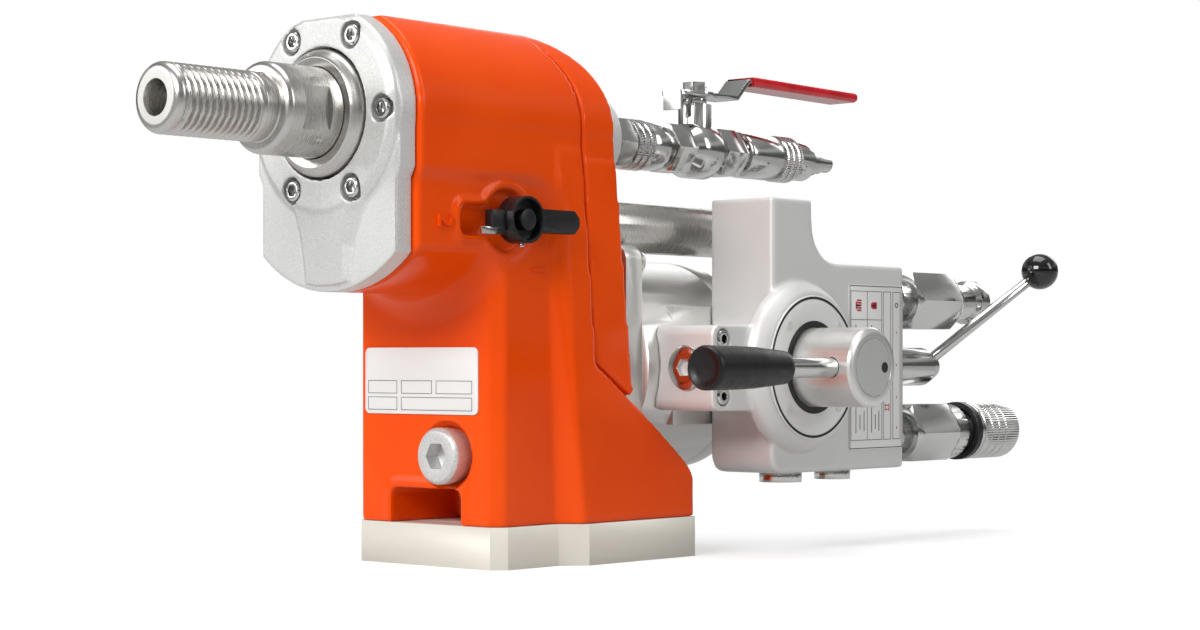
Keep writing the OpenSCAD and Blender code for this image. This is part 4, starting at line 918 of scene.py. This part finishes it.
def pressure_sleeve():
    """The quick coupling's sliding sleeve: bands of fine knurling between grooves, and a rolled end."""
    low, high = span("pressure_coupling_sleeve")
    length = high[1] - low[1]
    ring_end = 5.0
    ring_outline = [(0, 13.5), (0, 15.6), (0.5, 16.4), (ring_end - 0.4, 16.4), (ring_end, 16.0),
                    (ring_end, 13.5)]
    ring = spun(ring_outline, 1, ((low[0] + high[0]) / 2, low[1], (low[2] + high[2]) / 2), 96)
    show("pressure_sleeve_ring", ring, MATERIALS["black_plastic"], "coupling_sleeve", "black_plastic")
    profile = [(ring_end, 13.5), (ring_end, 15.6), (ring_end + 0.5, 16.2)]
    for n in range(4):
        s = 7.0 + n * 7.2
        profile += [(s, 16.2), (s + 0.3, 15.5), (s + 1.1, 15.5), (s + 1.4, 16.2), (s + 4.4, 16.2)]
    profile += [(length - 1.5, 16.2), (length - 0.4, 15.8), (length, 15.0), (length, 13.5)]
    profile = np.array(profile)
    profile[:, 0] += low[1]
    start_at = low[1] + 9
    turned_ring("pressure_sleeve_knurled", "pressure_coupling_sleeve", MATERIALS["plated_steel"],
                "coupling_sleeve", "plated_steel", profile,
                knurl(72, 0.3, lambda along, radius: (radius > 16.0) & (along > start_at)), steps=432)


pressure_sleeve()

# ---------- studio ----------

SENSOR_WIDTH = 36.0
LENS = 73.89
# share of the picture's width by which the horizon is raised
HORIZON_SHIFT = 0.0381667
CAMERA_AT = (0.8476, -0.8953, 0.0983)
CAMERA_TURN = 0.725
FLOOR_HALF = 4.0
# millimetres from the middle at which the floor begins to fade, and at which it has gone
FLOOR_SOLID, FLOOR_GONE = 550.0, 1000.0
# the floor's own glow, as the metals mirror it and as it is seen
FLOOR_GLOW_UNSEEN, FLOOR_GLOW_SEEN = 0.05, 0.5


def studio():
    """A flat pale floor that fades out, soft area lights, a white world and the camera."""
    camera = bpy.data.cameras.new("camera")
    camera.sensor_width = SENSOR_WIDTH
    camera.lens = LENS
    camera.shift_y = HORIZON_SHIFT
    camera.clip_end = 20
    holder = bpy.data.objects.new("camera", camera)
    holder.location = CAMERA_AT
    holder.rotation_euler = (math.pi / 2, 0, CAMERA_TURN)
    bpy.context.scene.collection.objects.link(holder)
    bpy.context.scene.camera = holder

    size = FLOOR_HALF
    mesh = bpy.data.meshes.new("floor")
    mesh.from_pydata(
        [(-size, -size, 0), (size, -size, 0), (size, size, 0), (-size, size, 0)], [], [(0, 1, 2, 3)]
    )
    floor = bpy.data.objects.new("floor", mesh)
    bpy.context.scene.collection.objects.link(floor)
    m, s, p = start("studio_floor", "#C0C0C0", roughness=0.9, Specular__IOR__Level=0.1,
                    Emission__Color=(1, 1, 1, 1))
    glow = add(m, "ShaderNodeLightPath")
    lift = add(m, "ShaderNodeMapRange", [("Value", glow, "Is Camera Ray")],
               **{"To__Min": FLOOR_GLOW_UNSEEN, "To__Max": FLOOR_GLOW_SEEN})
    wire(m, lift, "Result", s, "Emission Strength")
    vary(m, s, p, "Roughness", 200, 0.85, 0.95)
    reach = add(m, "ShaderNodeVectorMath", [("Vector", p, "Vector")], operation="LENGTH")
    fade = add(m, "ShaderNodeMapRange", [("Value", reach, "Value")],
               **{"From__Min": FLOOR_SOLID, "From__Max": FLOOR_GONE, "To__Min": 1.0, "To__Max": 0.0})
    wire(m, fade, "Result", s, "Alpha")
    floor.data.materials.append(m)

    for name, at, turn, width, height, power in [
        ("key", (0.32, -1.9, 1.1), (60, 0, 9), 1.2, 0.8, 38),
        ("fill", (-1.2, -1.4, 0.8), (68, 0, -40), 1.0, 1.0, 8),
        ("side", (1.7, 0.7, 1.0), (60, 0, 112), 0.5, 1.1, 7),
        ("top", (0.0, 0.1, 2.0), (0, 0, 0), 1.6, 1.4, 22),
        ("rim", (-0.6, 1.9, 1.0), (-65, 0, 18), 1.6, 0.8, 8),
    ]:
        light = bpy.data.lights.new(name, "AREA")
        light.shape = "RECTANGLE"
        light.size = width
        light.size_y = height
        light.energy = power
        lamp = bpy.data.objects.new(name, light)
        lamp.location = at
        lamp.rotation_euler = [math.radians(a) for a in turn]
        bpy.context.scene.collection.objects.link(lamp)

    world = bpy.data.worlds.new("studio")
    world.use_nodes = True
    sky = world.node_tree.nodes["Background"]
    coords = add(world, "ShaderNodeTexCoord")
    height = add(world, "ShaderNodeSeparateXYZ", [("Vector", coords, "Generated")])
    # bands of light and dark from floor to ceiling, for the metals to mirror
    bands = add(world, "ShaderNodeValToRGB", [("Fac", height, "Z")])
    stops = bands.color_ramp.elements
    for place, level in ((0.04, 0.08), (0.20, 0.12), (0.34, 0.55), (0.50, 0.25), (0.80, 0.40)):
        stops.new(place).color = (level, level, level, 1)
    stops[0].color, stops[-1].color = (0.5, 0.5, 0.5, 1), (0.6, 0.6, 0.6, 1)
    # a direct look past the object sees plain white
    path_kind = add(world, "ShaderNodeLightPath")
    white = add(world, "ShaderNodeMixRGB", [("Fac", path_kind, "Is Camera Ray"), ("Color1", bands, "Color")],
                Color2=(1, 1, 1, 1))
    wire(world, white, "Color", sky, "Color")
    sky.inputs["Strength"].default_value = 1.0
    bpy.context.scene.world = world
    bpy.context.scene.view_settings.view_transform = "Standard"


studio()
